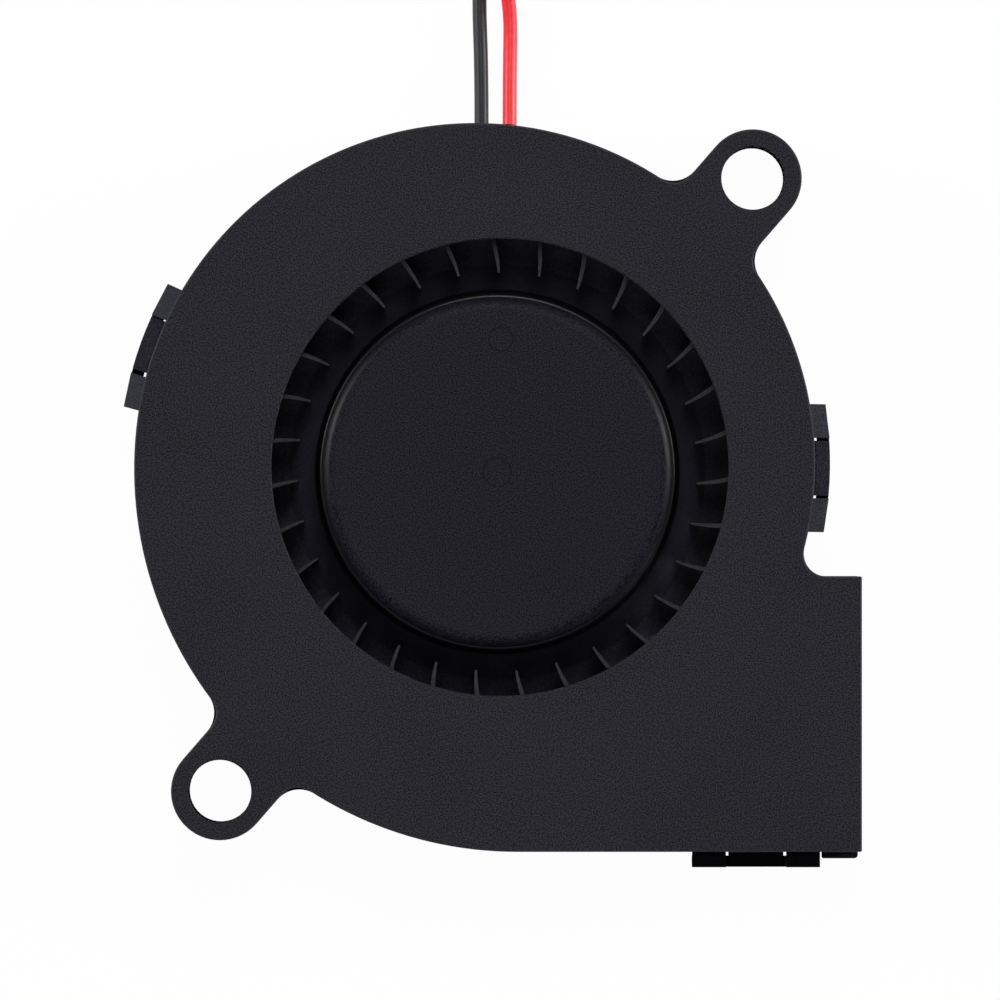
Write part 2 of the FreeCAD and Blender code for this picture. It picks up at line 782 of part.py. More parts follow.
def draw_blade(drawing):
    """One blade's section: two arcs of unlike radius between a thin root and the tip."""
    sweep = of("blade_tip_sweep")
    half_root = of("blade_root_thickness") / 2
    half_tip = of("blade_tip_thickness") / 2
    tip = (impeller_radius * cosine(sweep), impeller_radius * sine(sweep))
    aside = (half_tip * sine(sweep), half_tip * cosine(sweep))
    ends = {
        "front": ((blade_root, half_root), (tip[0] - aside[0], tip[1] + aside[1])),
        "back": ((blade_root, -half_root), (tip[0] + aside[0], tip[1] - aside[1])),
    }
    sides = {}
    for name, (start, end) in ends.items():
        bend = of(f"blade_{name}_radius")
        first = Vector(start[0].value, start[1].value, 0)
        last = Vector(end[0].value, end[1].value, 0)
        chord = last - first
        normal = Vector(-chord.y, chord.x, 0).normalize()
        depth = math.sqrt(bend.value ** 2 - chord.Length ** 2 / 4)
        centre = (first + last) * 0.5 + normal * depth
        angles = [math.degrees(math.atan2(point.y - centre.y, point.x - centre.x))
                  for point in (first, last)]
        side = drawing.arc((centre.x, centre.y), bend, angles[0], angles[1])
        drawing.radius(side, bend)
        drawing.pin(side, 1, *start)
        drawing.pin(side, 2, *end)
        sides[name] = side
    for end_number, index in ((1, 0), (2, 1)):
        cap = drawing.line(ends["front"][index], ends["back"][index])
        drawing.join(cap, 1, sides["front"], end_number)
        drawing.join(cap, 2, sides["back"], end_number)


def make_rotor_parts():
    """The steel cup, the magnet, the bush and the shaft with its two washers."""
    turned("rotor_yoke", [
        (yoke_bore, magnet_low - of("yoke_thickness")),
        (yoke_radius, magnet_low - of("yoke_thickness")),
        (yoke_radius, yoke_top),
        (of("yoke_hole_radius"), yoke_top),
        (of("yoke_hole_radius"), yoke_top - of("yoke_thickness")),
        (yoke_bore, yoke_top - of("yoke_thickness")),
    ])
    turned_ring("ring_magnet", magnet_bore, magnet_radius, magnet_low, magnet_top)
    shaft = of("shaft_radius")
    turned_ring("shaft_bush", shaft + of("seat_clearance"), of("bush_radius"), bush_low, bush_top)
    end_round = shaft / 3
    turned("shaft", [
        (0, pad_top + of("seat_clearance")),
        (shaft - end_round, pad_top + of("seat_clearance")),
        (shaft, pad_top + of("seat_clearance") + end_round),
        (shaft, groove_low),
        (of("groove_radius"), groove_low),
        (of("groove_radius"), groove_high),
        (shaft, groove_high),
        (shaft, bush_top),
        (0, bush_top),
    ])
    washer_low = (groove_low + groove_high - of("washer_thickness")) / 2
    washer_bore = of("groove_radius") + of("running_clearance")
    turned_ring("retaining_washer", washer_bore, washer_bore + of("washer_reach"),
                washer_low, washer_low + of("washer_thickness"))
    turned_ring("upper_washer", shaft + of("running_clearance"),
                shaft + of("running_clearance") + of("washer_reach"),
                spacer_low, spacer_low + of("washer_thickness"))


def make_bearing_parts():
    """The sintered sleeve in its tube, and the pad that the shaft's end runs on."""
    turned_ring("bearing_sleeve", sleeve_bore, sleeve_radius, sleeve_low, sleeve_high)
    turned_ring("thrust_pad", as_size(0), tube_bore - of("seat_clearance"),
                of("floor_thickness"), pad_top)


def make_stator_core():
    """Laminated core: a ring on the bearing tube with poles that end in wide shoes."""
    body = new_body("stator_core")
    ring_radius = core_bore + of("core_ring_wall")
    ring = Drawing(body, "core_ring", of("core_lift")).circle(ring_radius).circle(core_bore)
    pad(body, ring, of("core_height"))
    shoe_inner = core_radius - of("pole_shoe_depth")
    half = of("pole_width") / 2
    arm = Drawing(body, "core_arm", of("core_lift"))
    arm.rectangle(core_bore + of("core_ring_wall") / 2, shoe_inner + of("pole_shoe_depth") / 2,
                  -half, half)
    polar(body, pad(body, arm, of("core_height")), of("pole_count"))
    shoe = Drawing(body, "core_shoe", of("core_lift"))
    shoe.band(shoe_inner, core_radius, of("pole_shoe_width") / 2)
    polar(body, pad(body, shoe, of("core_height")), of("pole_count"))
    return body


def make_bobbin(name, face, upwards):
    """An insulating frame on one face of the core: ring, arms and an upright flange per pole."""
    body = new_body(name)
    skin = of("bobbin_skin")
    rise = of("bobbin_rise")
    ring_radius = core_bore + of("core_ring_wall")
    half = of("pole_width") / 2 + skin
    flange_inner = core_radius - of("pole_shoe_depth") - of("bobbin_flange")
    skin_low = face if upwards else face - skin
    rise_low = face if upwards else face - rise
    ring = Drawing(body, f"{name}_ring", rise_low).circle(ring_radius).circle(core_bore)
    pad(body, ring, rise)
    arm = Drawing(body, f"{name}_arm", skin_low)
    arm.rectangle(core_bore + of("core_ring_wall") / 2, flange_inner + of("bobbin_flange") / 2,
                  -half, half)
    polar(body, pad(body, arm, skin), of("pole_count"))
    flange = Drawing(body, f"{name}_flange", rise_low)
    flange.band(flange_inner, flange_inner + of("bobbin_flange"),
                of("pole_width") / 2 + skin + of("coil_depth"))
    polar(body, pad(body, flange, rise), of("pole_count"))
    return body


def make_stator_coils():
    """One winding round each pole arm, as the closed outer form of its turns."""
    arm_half = of("pole_width") / 2 + of("bobbin_skin") + of("coil_gap")
    side = arm_half + of("coil_depth")
    flange = core_radius - of("pole_shoe_depth") - of("bobbin_flange")
    inner = core_bore + of("core_ring_wall") + of("coil_gap")
    outer = root(flange * flange - side * side) - of("coil_gap")
    arm_low = of("core_lift") - of("bobbin_skin") - of("coil_gap")
    arm_high = core_top + of("bobbin_skin") + of("coil_gap")
    depth = of("coil_depth")
    windings = []
    for number in range(SIZES["pole_count"]):
        whole = block(f"winding_outside_{number}", inner, outer, -side, side,
                      arm_low - depth, arm_high + depth)
        core = block(f"winding_inside_{number}", inner - of("overrun"), outer + of("overrun"),
                     -arm_half, arm_half, arm_low, arm_high)
        winding = difference(f"winding_{number}", whole, core)
        angle = as_size(FULL_TURN * number) / of("pole_count")
        winding.setExpression("Placement.Rotation.Angle", f"{angle.formula} * 1deg")
        windings.append(winding)
    return group("stator_coils", windings)


def make_board_parts():
    """The round circuit board below the stator, with what is soldered to it."""
    board = new_body("circuit_board")
    rim = core_radius - of("board_margin") / 2
    plate = Drawing(board, "board_plate", of("board_lift")).circle(rim)
    plate.circle(tube_radius + of("board_margin"))
    pad(board, plate, of("board_thickness"))
    pin_angles = [of("pin_start_angle") + of("pin_step_angle") * number
                  for number in range(SIZES["pin_count"])]
    pin_places = [(of("pin_ring") * cosine(angle), of("pin_ring") * sine(angle))
                  for angle in pin_angles]
    holes = Drawing(board, "board_pin_holes", of("board_lift") - of("overrun"))
    for x, y in pin_places:
        holes.circle(of("pin_radius") + of("seat_clearance"), x, y)
    cut(board, holes, of("board_thickness") + of("overrun") * 2)
    pins = [rod(f"bobbin_pin_{number}", of("pin_radius"), of("board_lift") - of("pin_radius"),
                of("core_lift") - of("bobbin_rise"), x, y)
            for number, (x, y) in enumerate(pin_places)]
    group("bobbin_pins", pins)

    chip_on_board("hall_sensor", as_size(0), -of("hall_place"), of("hall_width"),
                  of("hall_depth"), of("hall_height"))
    chip_on_board("driver_chip", -of("driver_place"), as_size(0), of("driver_width"),
                  of("driver_length"), of("driver_height"))
    group("board_chips", [
        chip_on_board("chip_capacitor", of("chip_place"), as_size(0), of("chip_length"),
                      of("chip_width"), of("capacitor_height")),
        chip_on_board("chip_resistor", of("chip_place"), of("chip_spacing"), of("chip_length"),
                      of("chip_width"), of("resistor_height")),
    ])
    joint_radius = of("lead_radius") + of("groove_clearance")
    joint_low = of("lead_height") + of("lead_rise") - of("lead_radius") / 2
    group("solder_joints", [
        rod(f"solder_{name}", joint_radius, joint_low, of("board_lift"),
            of(f"{name}_lead_place"), of("lead_start") - joint_radius - of("seat_clearance"))
        for name in ("black", "red")])


def chip_on_board(name, x, y, width, depth, height):
    """A small package that stands on the board, centred at x, y."""
    return block(name, x - width / 2, x + width / 2, y - depth / 2, y + depth / 2,
                 board_top, board_top + height)


# The leads' corners, chosen by hand: steps in X, Y and Z from a route's start or its end

BENDS = {
    "inner": {"start": [(0.0, 2.2, -0.05), (0.0, 4.6, -0.9), (0.0, 9.0, -0.89)], "end": []},
    "black_lead": {"start": [(0.0, 4.0, -0.13), (-0.2, 9.0, -0.3)], "end": [(0.05, -3.2, -0.22)]},
    "red_lead": {"start": [(0.0, 4.0, -0.13), (0.1, 8.0, 0.05)], "end": [(0.96, -4.3, -1.02)]},
    "black_lead_end": {"start": [(0.05, 2.8, 0.3)], "end": [(-0.04, -2.6, -0.03)]},
    "red_lead_end": {"start": [(0.3, 2.6, -0.1)], "end": [(-0.05, -2.8, 0.03)]},
}
BEND_SHARE = 0.45


def rounded_path(points):
    """Straight runs through the points, joined by arcs as large as the runs allow."""
    pieces = []
    radii = []
    start = points[0]
    for before, corner, after in zip(points, points[1:], points[2:]):
        back = before - corner
        ahead = after - corner
        turn = math.pi - back.getAngle(ahead)
        trim = BEND_SHARE * min(back.Length, ahead.Length)
        radius = trim / math.tan(turn / 2)
        radii.append(radius)
        enter = corner + back.normalize() * trim
        leave = corner + ahead.normalize() * trim
        inward = (back + ahead).normalize()
        middle = corner + inward * (radius / math.cos(turn / 2) - radius)
        pieces.append(Part.LineSegment(start, enter).toShape())
        pieces.append(Part.Arc(enter, middle, leave).toShape())
        start = leave
    pieces.append(Part.LineSegment(start, points[-1]).toShape())
    return Part.Wire(pieces), radii


def make_lead(name, start, end, route):
    """A round lead from start to end, in straight runs and tangent arcs round its corners."""
    corners = [start + Vector(*step) for step in BENDS[route]["start"]]
    corners += [end + Vector(*step) for step in BENDS[route]["end"]]
    path, radii = rounded_path([start, *corners, end])
    section = Part.Circle(start, corners[0] - start, SIZES["lead_radius"]).toShape()
    feature = doc.addObject("Part::Feature", name)
    feature.Label = name
    feature.Shape = path.makePipeShell([Part.Wire(section)], True, False)
    expected = path.Length * math.pi * SIZES["lead_radius"] ** 2
    print(f"{name}: length {path.Length:.1f}, smallest radius {min(radii):.2f}, "
          f"volume ratio {feature.Shape.Volume / expected:.4f}")


def make_leads():
    """Each lead: its run in the housing, the free stretch, and the end from coil to plug."""
    radius = SIZES["lead_radius"]
    low = SIZES["lead_height"]
    clear = SIZES["seat_clearance"]
    layer = SIZES["coil_layer_height"]
    coil_edge = SIZES["coil_inner_radius"] + SIZES["coil_width"]
    coil_x = SIZES["coil_place_x"] + coil_edge - radius - SIZES["lead_gap"]
    coil_y = SIZES["coil_place_y"]
    coil_low = SIZES["tie_thickness"] + clear
    inset = radius + SIZES["lead_gap"]
    middle = SIZES["connector_height"] / 2
    half_pitch = SIZES["contact_pitch"] / 2
    exit_y = lead_exit.value
    plug = Vector(SIZES["connector_place_x"], SIZES["connector_place_y"], middle)
    for number, (name, side) in enumerate((("black", -1), ("red", 1))):
        x = SIZES[f"{name}_lead_place"]
        aside = SIZES["lead_shift"] * number
        joint = Vector(x, SIZES["lead_start"], low + SIZES["lead_rise"])
        layer_low = coil_low + layer * number
        coil_front = Vector(coil_x + aside, coil_y - SIZES["coil_meeting"], layer_low + inset)
        coil_back = Vector(coil_x + aside, coil_y + SIZES["coil_meeting"],
                           layer_low + layer - inset)
        make_lead(f"{name}_lead_inner", joint, Vector(x, exit_y, low), "inner")
        make_lead(f"{name}_lead", Vector(x, exit_y + clear, low), coil_front, f"{name}_lead")
        make_lead(f"{name}_lead_end", coil_back, plug + Vector(side * half_pitch, 0, 0),
                  f"{name}_lead_end")


def make_coils():
    """The put-away length: one flat ring for each lead, one on the other, held by a tie."""
    inner = of("coil_inner_radius")
    outer = inner + of("coil_width")
    centre = (of("coil_place_x"), of("coil_place_y"))
    low = of("tie_thickness") + of("seat_clearance")
    for name in ("black", "red"):
        high = low + of("coil_layer_height")
        whole = rod(f"{name}_coil_outside", outer, low, high, *centre)
        hole = rod(f"{name}_coil_inside", inner, low - of("overrun"), high + of("overrun"),
                   *centre)
        difference(f"{name}_lead_coil", whole, hole)
        low = high
    clear = of("tie_clearance")
    skin = of("tie_thickness")
    half = of("tie_width") / 2
    left = centre[0] - outer - clear
    right = centre[0] - inner + clear * 2
    top = low + of("seat_clearance")
    whole = block("tie_outside", left - skin, right + skin, centre[1] - half, centre[1] + half,
                  as_size(0), top + skin)
    hole = block("tie_inside", left, right, centre[1] - half - of("overrun"),
                 centre[1] + half + of("overrun"), skin, top)
    difference("lead_tie", whole, hole)


def make_connector():
    """Two-way crimp housing with a cavity for each contact and two ribs along its top."""
    body = new_body("connector_housing")
    place = (of("connector_place_x"), of("connector_place_y"))
    half = of("connector_width") / 2
    length = of("connector_length")
    top = of("connector_height")
    shell = Drawing(body, "connector_shell", place=place).rectangle(-half, half, 0, length)
    pad(body, shell, top)
    contact_half = of("contact_size") / 2
    low = top / 2 - contact_half
    skin = of("seat_clearance")
    contacts = []
    for name, side in (("black", -1), ("red", 1)):
        x = of("contact_pitch") * side / 2
        cavity = Drawing(body, f"{name}_cavity", low, place=place)
        cavity.rectangle(x - contact_half, x + contact_half, 0, length + of("overrun"))
        cut(body, cavity, of("contact_size"))
        latch = Drawing(body, f"{name}_latch", low + of("contact_size"), place=place)
        latch.rectangle(x - contact_half / 2, x + contact_half / 2,
                        of("latch_start"), of("latch_start") + of("latch_length"))
        cut(body, latch, top)
        contacts.append(block(f"{name}_contact", place[0] + x - contact_half + skin,
                              place[0] + x + contact_half - skin, place[1] + skin,
                              place[1] + length - of("contact_setback"),
                              low + skin, low + of("contact_size") - skin))
    rib_half = of("connector_rib_width") / 2
    for name, side in (("left", -1), ("right", 1)):
        x = of("connector_rib_place") * side
        rib = Drawing(body, f"connector_{name}_rib", top, place=place)
        rib.rectangle(x - rib_half, x + rib_half, of("connector_rib_start"), length)
        pad(body, rib, of("connector_rib_height"))
    group("crimp_contacts", contacts)


make_base_housing()
make_intake_cover()
make_impeller()
make_rotor_parts()
make_bearing_parts()
make_stator_core()
make_bobbin("upper_bobbin", core_top, True)
make_bobbin("lower_bobbin", of("core_lift"), False)
make_stator_coils()
make_board_parts()
make_leads()
make_coils()
make_connector()
doc.recompute()

NODES = [
    "base_housing", "intake_cover", "impeller", "rotor_yoke", "ring_magnet", "shaft_bush",
    "shaft", "retaining_washer", "upper_washer", "bearing_sleeve", "thrust_pad",
    "stator_core", "upper_bobbin", "lower_bobbin", "stator_coils", "bobbin_pins",
    "circuit_board", "hall_sensor", "driver_chip", "board_chips", "solder_joints",
    "black_lead_inner", "red_lead_inner", "black_lead", "red_lead", "black_lead_coil",
    "red_lead_coil", "black_lead_end", "red_lead_end", "lead_tie", "connector_housing",
    "crimp_contacts",
]

for item in doc.Objects:
    if "Invalid" in item.State or "Error" in item.State:
        raise RuntimeError(f"{item.Label} failed: {item.State}")
os.makedirs("parts", exist_ok=True)
for name in NODES:
    shape = doc.getObjectsByLabel(name)[0].Shape
    if shape.isNull() or not shape.isValid() or not shape.Solids:
        raise RuntimeError(f"{name} has no valid solid")
    shape.exportStep(os.path.join("parts", f"{name}.step"))
    print(f"{name}: {len(shape.Solids)} solid(s), {shape.Volume:.1f} cubic mm")
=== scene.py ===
"""Radial blower fan: the visible pieces and finishes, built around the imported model."""
import logging
import math
from dataclasses import dataclass
from enum import Enum
from typing import Callable, Sequence

import bmesh
import bpy
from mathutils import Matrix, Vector


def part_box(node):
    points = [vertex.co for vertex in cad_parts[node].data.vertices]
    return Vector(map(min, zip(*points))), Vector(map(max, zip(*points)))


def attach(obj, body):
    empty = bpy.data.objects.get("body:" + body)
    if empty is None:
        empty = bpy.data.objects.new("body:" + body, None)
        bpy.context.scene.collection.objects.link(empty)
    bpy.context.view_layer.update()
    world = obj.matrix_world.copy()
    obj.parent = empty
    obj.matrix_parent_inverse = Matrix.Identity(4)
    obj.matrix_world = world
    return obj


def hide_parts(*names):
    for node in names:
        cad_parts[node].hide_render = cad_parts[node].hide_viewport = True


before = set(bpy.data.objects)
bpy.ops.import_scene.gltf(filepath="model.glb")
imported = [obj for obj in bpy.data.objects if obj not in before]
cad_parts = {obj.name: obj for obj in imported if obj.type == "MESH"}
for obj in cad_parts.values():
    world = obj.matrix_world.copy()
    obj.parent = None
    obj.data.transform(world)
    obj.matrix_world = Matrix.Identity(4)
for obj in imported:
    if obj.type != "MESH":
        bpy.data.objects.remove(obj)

MM = 0.001
# How far a facet may stand off its arc, the most that may be of a small radius, and an arc's
# least facets
ARC_ERROR = 0.003
ARC_SHARE = 0.5
ARC_FACETS = 2
SHARP_ANGLE = math.radians(32)
# Corners closer than the first are one, and a radius below the second lies on the axis
WELD = 1e-5
ON_AXIS = 1e-6
# The least share of a mitre's length that is kept at a sharp corner
MITRE_HOLD = 0.35
# How far a new plate reaches into the solid that carries it, and a moulded part's small bevel
LAP = 0.1
SMALL_BEVEL = 0.12
# Facets across a bevel, and across the finest ones
BEVEL_STEPS, FINE_STEPS = 3, 2
# The colour sockets of a mix node, which share their names with its number sockets
MIX_FIRST, MIX_SECOND, MIX_RESULT = 6, 7, 2
# The grain's detail, its harshness and its middle tone
GRAIN_DETAIL, GRAIN_HARSHNESS, MIDDLE_TONE = 2.0, 0.6, 0.5
# The scale, the share and the detail of the grain's slow clouds
CLOUD_SCALE, CLOUD_SHARE, CLOUD_DETAIL = 0.012, 0.25, 1.0
MARK_DETAIL = 3.0
ROUGHNESS_SPREAD = 0.06

Point = tuple[float, float]
Spot = tuple[float, float, float]
Loop = list[Point]
Colour = tuple[float, float, float]
Place = Callable[[Vector], Vector]

log = logging.getLogger("blower")


class Body(Enum):
    """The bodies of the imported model."""

    HOUSING = "housing"
    ROTOR = "rotor"


class Slot(Enum):
    """Names of material slots for the new pieces, passed to settle but not used there."""

    HOUSING = "housing_plastic"
    IMPELLER = "impeller_plastic"
    WINDING = "winding_copper"
    BLACK = "black_insulation"
    RED = "red_insulation"
    TIE = "tie_plastic"
    PLUG = "connector_plastic"


class Effect(Enum):
    """The pattern that breaks up a finish, by its group's name."""

    GRAIN = "moulded_grain"
    TURNING = "turning_marks"


class Socket(Enum):
    """The socket types of the node groups."""

    NUMBER = "NodeSocketFloat"
    COUNT = "NodeSocketInt"
    VECTOR = "NodeSocketVector"
    SHAPE = "NodeSocketGeometry"
    FINISH = "NodeSocketMaterial"


# Plane geometry in millimetres


def polar(centre: Point, radius: float, degrees: float) -> Point:
    """The point at an angle on a circle."""
    turn = math.radians(degrees)
    return centre[0] + radius * math.cos(turn), centre[1] + radius * math.sin(turn)


def heading(start: Point, end: Point) -> float:
    """The direction from one point to another, in degrees."""
    return math.degrees(math.atan2(end[1] - start[1], end[0] - start[0]))


def arc(centre: Point, radius: float, start: float, end: float) -> Loop:
    """Points along an arc.

    Args:
        centre: The arc's centre.
        radius: The arc's radius.
        start: First angle in degrees.
        end: Last angle in degrees, lower than start for a clockwise arc.

    Returns:
        The points, both ends among them.
    """
    step = 2 * math.degrees(math.acos(1 - min(ARC_ERROR / radius, ARC_SHARE)))
    count = max(ARC_FACETS, math.ceil(abs(end - start) / step))
    return [polar(centre, radius, start + (end - start) * i / count) for i in range(count + 1)]


def circle(centre: Point, radius: float) -> Loop:
    """A closed circle of points."""
    return arc(centre, radius, 0, 360)[:-1]


def rectangle(left: float, right: float, low: float, high: float) -> Loop:
    """A rectangle's corners, counter-clockwise."""
    return [(left, low), (right, low), (right, high), (left, high)]


def rounded_rectangle(left: float, right: float, low: float, high: float, radius: float) -> Loop:
    """A rectangle whose corners are arcs, counter-clockwise."""
    corners = [(right - radius, low + radius, -90), (right - radius, high - radius, 0),
               (left + radius, high - radius, 90), (left + radius, low + radius, 180)]
    return [point for x, y, start in corners for point in arc((x, y), radius, start, start + 90)]


@dataclass(frozen=True)
class ScrollOutline:
    """The outline that the base and the cover share, with its ears and its mouth."""

    small_centre: Point = (-1.585, 0.61)
    small_radius: float = 23.845
    growth: float = 2.98
    join_angle: float = 172.3
    tongue_centre: Point = (23.063, -5.71)
    tongue_radius: float = 1.6
    mouth_x: float = 25.537
    mouth_top: float = -7.31
    corner_radius: float = 0.12
    ear_angle: float = 49.0
    ear_radius: float = 3.43
    hole_radius: float = 2.2
    upper_reach: float = 27.27
    lower_reach: float = 29.64
    neck_radius: float = 1.5

    @property
    def large_centre(self) -> Point:
        """The centre of the wide arc, which meets the small one smoothly."""
        return polar(self.small_centre, -self.growth, self.join_angle)

    @property
    def large_radius(self) -> float:
        """The radius of the wide arc."""
        return self.small_radius + self.growth

    @property
    def depth(self) -> float:
        """How far the straight wall below the mouth lies from the axis."""
        return self.large_radius - self.large_centre[1]

    def ear_holes(self) -> list[Loop]:
        """The loops of both ear holes."""
        middles = [polar((0, 0), self.upper_reach, self.ear_angle),
                   polar((0, 0), self.lower_reach, self.ear_angle + 180)]
        return [circle(centre, self.hole_radius) for centre in middles]

    def neck(self, centre: Point, radius: float, direction: float, side: int) -> tuple[Point, float]:
        """The rounding between an arc of the scroll and one side of an ear.

        Args:
            centre: The scroll arc's centre.
            radius: The scroll arc's radius.
            direction: The ear's direction in degrees.
            side: 1 for the ear's counter-clockwise side, -1 for the other.

        Returns:
            The rounding's centre, and its direction from the scroll arc's centre.
        """
        along = Vector(polar((0, 0), 1, direction))
        beside = Vector(polar((0, 0), 1, direction + 90 * side))
        aside = beside * (self.ear_radius + self.neck_radius) - Vector(centre)
        lean = along.dot(aside)
        reach = math.sqrt(lean * lean - aside.length_squared + (radius + self.neck_radius) ** 2)
        spot = along * (reach - lean) + beside * (self.ear_radius + self.neck_radius)
        turn = heading(centre, (spot.x, spot.y))
        return (spot.x, spot.y), turn + 360 * round((direction - turn) / 360)

    def ear(self, centre: Point, radius: float, direction: float, reach: float) -> tuple[Loop, float, float]:
        """One ear with its two roundings.

        Args:
            centre: The centre of the scroll arc that carries the ear.
            radius: That arc's radius.
            direction: The ear's direction in degrees.
            reach: The ear's distance from the axis.

        Returns:
            The ear's points, and the angles on the scroll arc where it starts and ends.
        """
        first, enter = self.neck(centre, radius, direction, -1)
        last, leave = self.neck(centre, radius, direction, 1)
        loop = arc(first, self.neck_radius, enter + 180, direction + 90)
        loop += arc(polar((0, 0), reach, direction), self.ear_radius, direction - 90, direction + 90)
        loop += arc(last, self.neck_radius, direction + 270, leave + 180)
        return loop, enter, leave

    def rim(self, inset: float = 0.0, ears: bool = True) -> Loop:
        """The outline from the tongue round to the bottom of the mouth, without the mouth.

        Args:
            inset: How far the line lies inside the housing's outer face.
            ears: Whether the ears are part of it.

        Returns:
            An open line, counter-clockwise.
        """
        small, large = self.small_radius - inset, self.large_radius - inset
        start = heading(self.small_centre, self.tongue_centre)
        loop = arc(self.tongue_centre, self.tongue_radius + inset, 270, 180 + start)
        turn = start
        if ears:
            ear, enter, leave = self.ear(self.small_centre, small, self.ear_angle, self.upper_reach)
            loop += arc(self.small_centre, small, turn, enter)[1:-1] + ear
            turn = leave
        loop += arc(self.small_centre, small, turn, self.join_angle)[1:-1]
        turn = self.join_angle
        if ears:
            ear, enter, leave = self.ear(self.large_centre, large, self.ear_angle + 180,
                                         self.lower_reach)
            loop += arc(self.large_centre, large, turn, enter)[:-1] + ear
            turn = leave
        loop += arc(self.large_centre, large, turn, 270)[1:]
        return loop

    def whole(self) -> Loop:
        """The closed outline with its ears and the mouth's two corners."""
        corner = self.corner_radius
        x = self.mouth_x - corner
        return (self.rim() + arc((x, corner - self.depth), corner, 270, 360)
                + arc((x, self.mouth_top - corner), corner, 0, 90))

    def band(self, outer: float, inner: float) -> Loop:
        """A strip along the inside of the wall, open at the mouth."""
        outside, inside = self.rim(outer, ears=False), self.rim(inner, ears=False)
        return ([(self.mouth_x, self.mouth_top - outer)] + outside
                + [(self.mouth_x, outer - self.depth), (self.mouth_x, inner - self.depth)]
                + inside[::-1] + [(self.mouth_x, self.mouth_top - inner)])


# Node trees


class Nodes:
    """A small helper that adds nodes to a tree and links them."""

    def __init__(self, tree: bpy.types.NodeTree) -> None:
        """Work on one node tree."""
        self.tree = tree

    def feed(self, value: object, target: bpy.types.NodeSocket) -> None:
        """Link a socket to an input, or set the input to a plain value."""
        if isinstance(value, bpy.types.NodeSocket):
            self.tree.links.new(value, target)
        else:
            target.default_value = value

    def add(self, kind: str, *feeds: object, **values: object) -> bpy.types.Node:
        """Add a node and give its inputs sockets or plain values.

        Args:
            kind: The node's type.
            feeds: What its first inputs take, in their order.
            values: What the named inputs take, or properties where no input has the name.

        Returns:
            The node.
        """
        node = self.tree.nodes.new(kind)
        for name, value in values.items():
            label = name.replace("_", " ").title()
            if label in node.inputs:
                self.feed(value, node.inputs[label])
            else:
                setattr(node, name, value)
        for target, value in zip(node.inputs, feeds):
            self.feed(value, target)
        return node

    def work_out(self, operation: str, *feeds: object, clamp: bool = False) -> bpy.types.NodeSocket:
        """The result of one sum of sockets and numbers."""
        return self.add("ShaderNodeMath", *feeds, operation=operation, use_clamp=clamp).outputs[0]

    def around(self, shape: bpy.types.NodeSocket, count: bpy.types.NodeSocket,
               start: object) -> bpy.types.NodeSocket:
        """Repeat a shape around the upright axis, as real geometry.

        Args:
            shape: The shape in its first place.
            count: How many there are.
            start: The first one's angle in radians, as a socket or a number.

        Returns:
            The socket with all of them.
        """
        step = self.work_out("DIVIDE", math.tau, count)
        turn = self.work_out("MULTIPLY_ADD", self.add("GeometryNodeInputIndex").outputs[0], step, start)
        spin = self.add("ShaderNodeCombineXYZ", z=turn).outputs[0]
        spots = self.add("GeometryNodePoints", count=count).outputs[0]
        laid = self.add("GeometryNodeInstanceOnPoints", points=spots, instance=shape, rotation=spin)
        return self.add("GeometryNodeRealizeInstances", laid.outputs[0]).outputs[0]

    def dress(self, shape: bpy.types.NodeSocket, finish: bpy.types.NodeSocket) -> bpy.types.NodeTree:
        """Give the shape its finish as the tree's result, and give the tree."""
        painted = self.add("GeometryNodeSetMaterial", geometry=shape, material=finish)
        self.add("NodeGroupOutput", painted.outputs[0])
        return self.tree


def new_group(name: str, kind: str, inputs: dict[str, Socket],
              outputs: dict[str, Socket]) -> tuple[Nodes, Sequence[bpy.types.NodeSocket]]:
    """Make a node group with named sockets.

    Args:
        name: The group's name.
        kind: The tree type.
        inputs: Input name to socket type.
        outputs: Output name to socket type.

    Returns:
        The helper for its tree, and the sockets that carry its inputs.
    """
    tree = bpy.data.node_groups.new(name, kind)
    for way, sockets in (("INPUT", inputs), ("OUTPUT", outputs)):
        for label, socket in sockets.items():
            tree.interface.new_socket(label, in_out=way, socket_type=socket.value)
    nodes = Nodes(tree)
    return nodes, nodes.add("NodeGroupInput").outputs


def grain_group() -> bpy.types.NodeTree:
    """Fine spark-eroded grain of a moulded skin: flecks of tone and their height."""
    nodes, given = new_group(
        Effect.GRAIN.value, "ShaderNodeTree",
        {"Vector": Socket.VECTOR, "Grain Scale": Socket.NUMBER, "Contrast": Socket.NUMBER},
        {"Tone": Socket.NUMBER, "Height": Socket.NUMBER})
    where, scale = given["Vector"], given["Grain Scale"]
    fine = nodes.add("ShaderNodeTexNoise", vector=where, scale=scale, detail=GRAIN_DETAIL,
                     roughness=GRAIN_HARSHNESS)
    height = fine.outputs["Fac"]
    slow = nodes.work_out("MULTIPLY", scale, CLOUD_SCALE)
    coarse = nodes.add("ShaderNodeTexNoise", vector=where, scale=slow, detail=CLOUD_DETAIL)
    centred = nodes.work_out("SUBTRACT", height, MIDDLE_TONE)
    flecks = nodes.work_out("MULTIPLY", centred, given["Contrast"])
    clouds = nodes.work_out("MULTIPLY_ADD", coarse.outputs["Fac"], CLOUD_SHARE, flecks)
    tone = nodes.work_out("ADD", clouds, MIDDLE_TONE - CLOUD_SHARE / 2, clamp=True)
    nodes.add("NodeGroupOutput", tone=tone, height=height)
    return nodes.tree


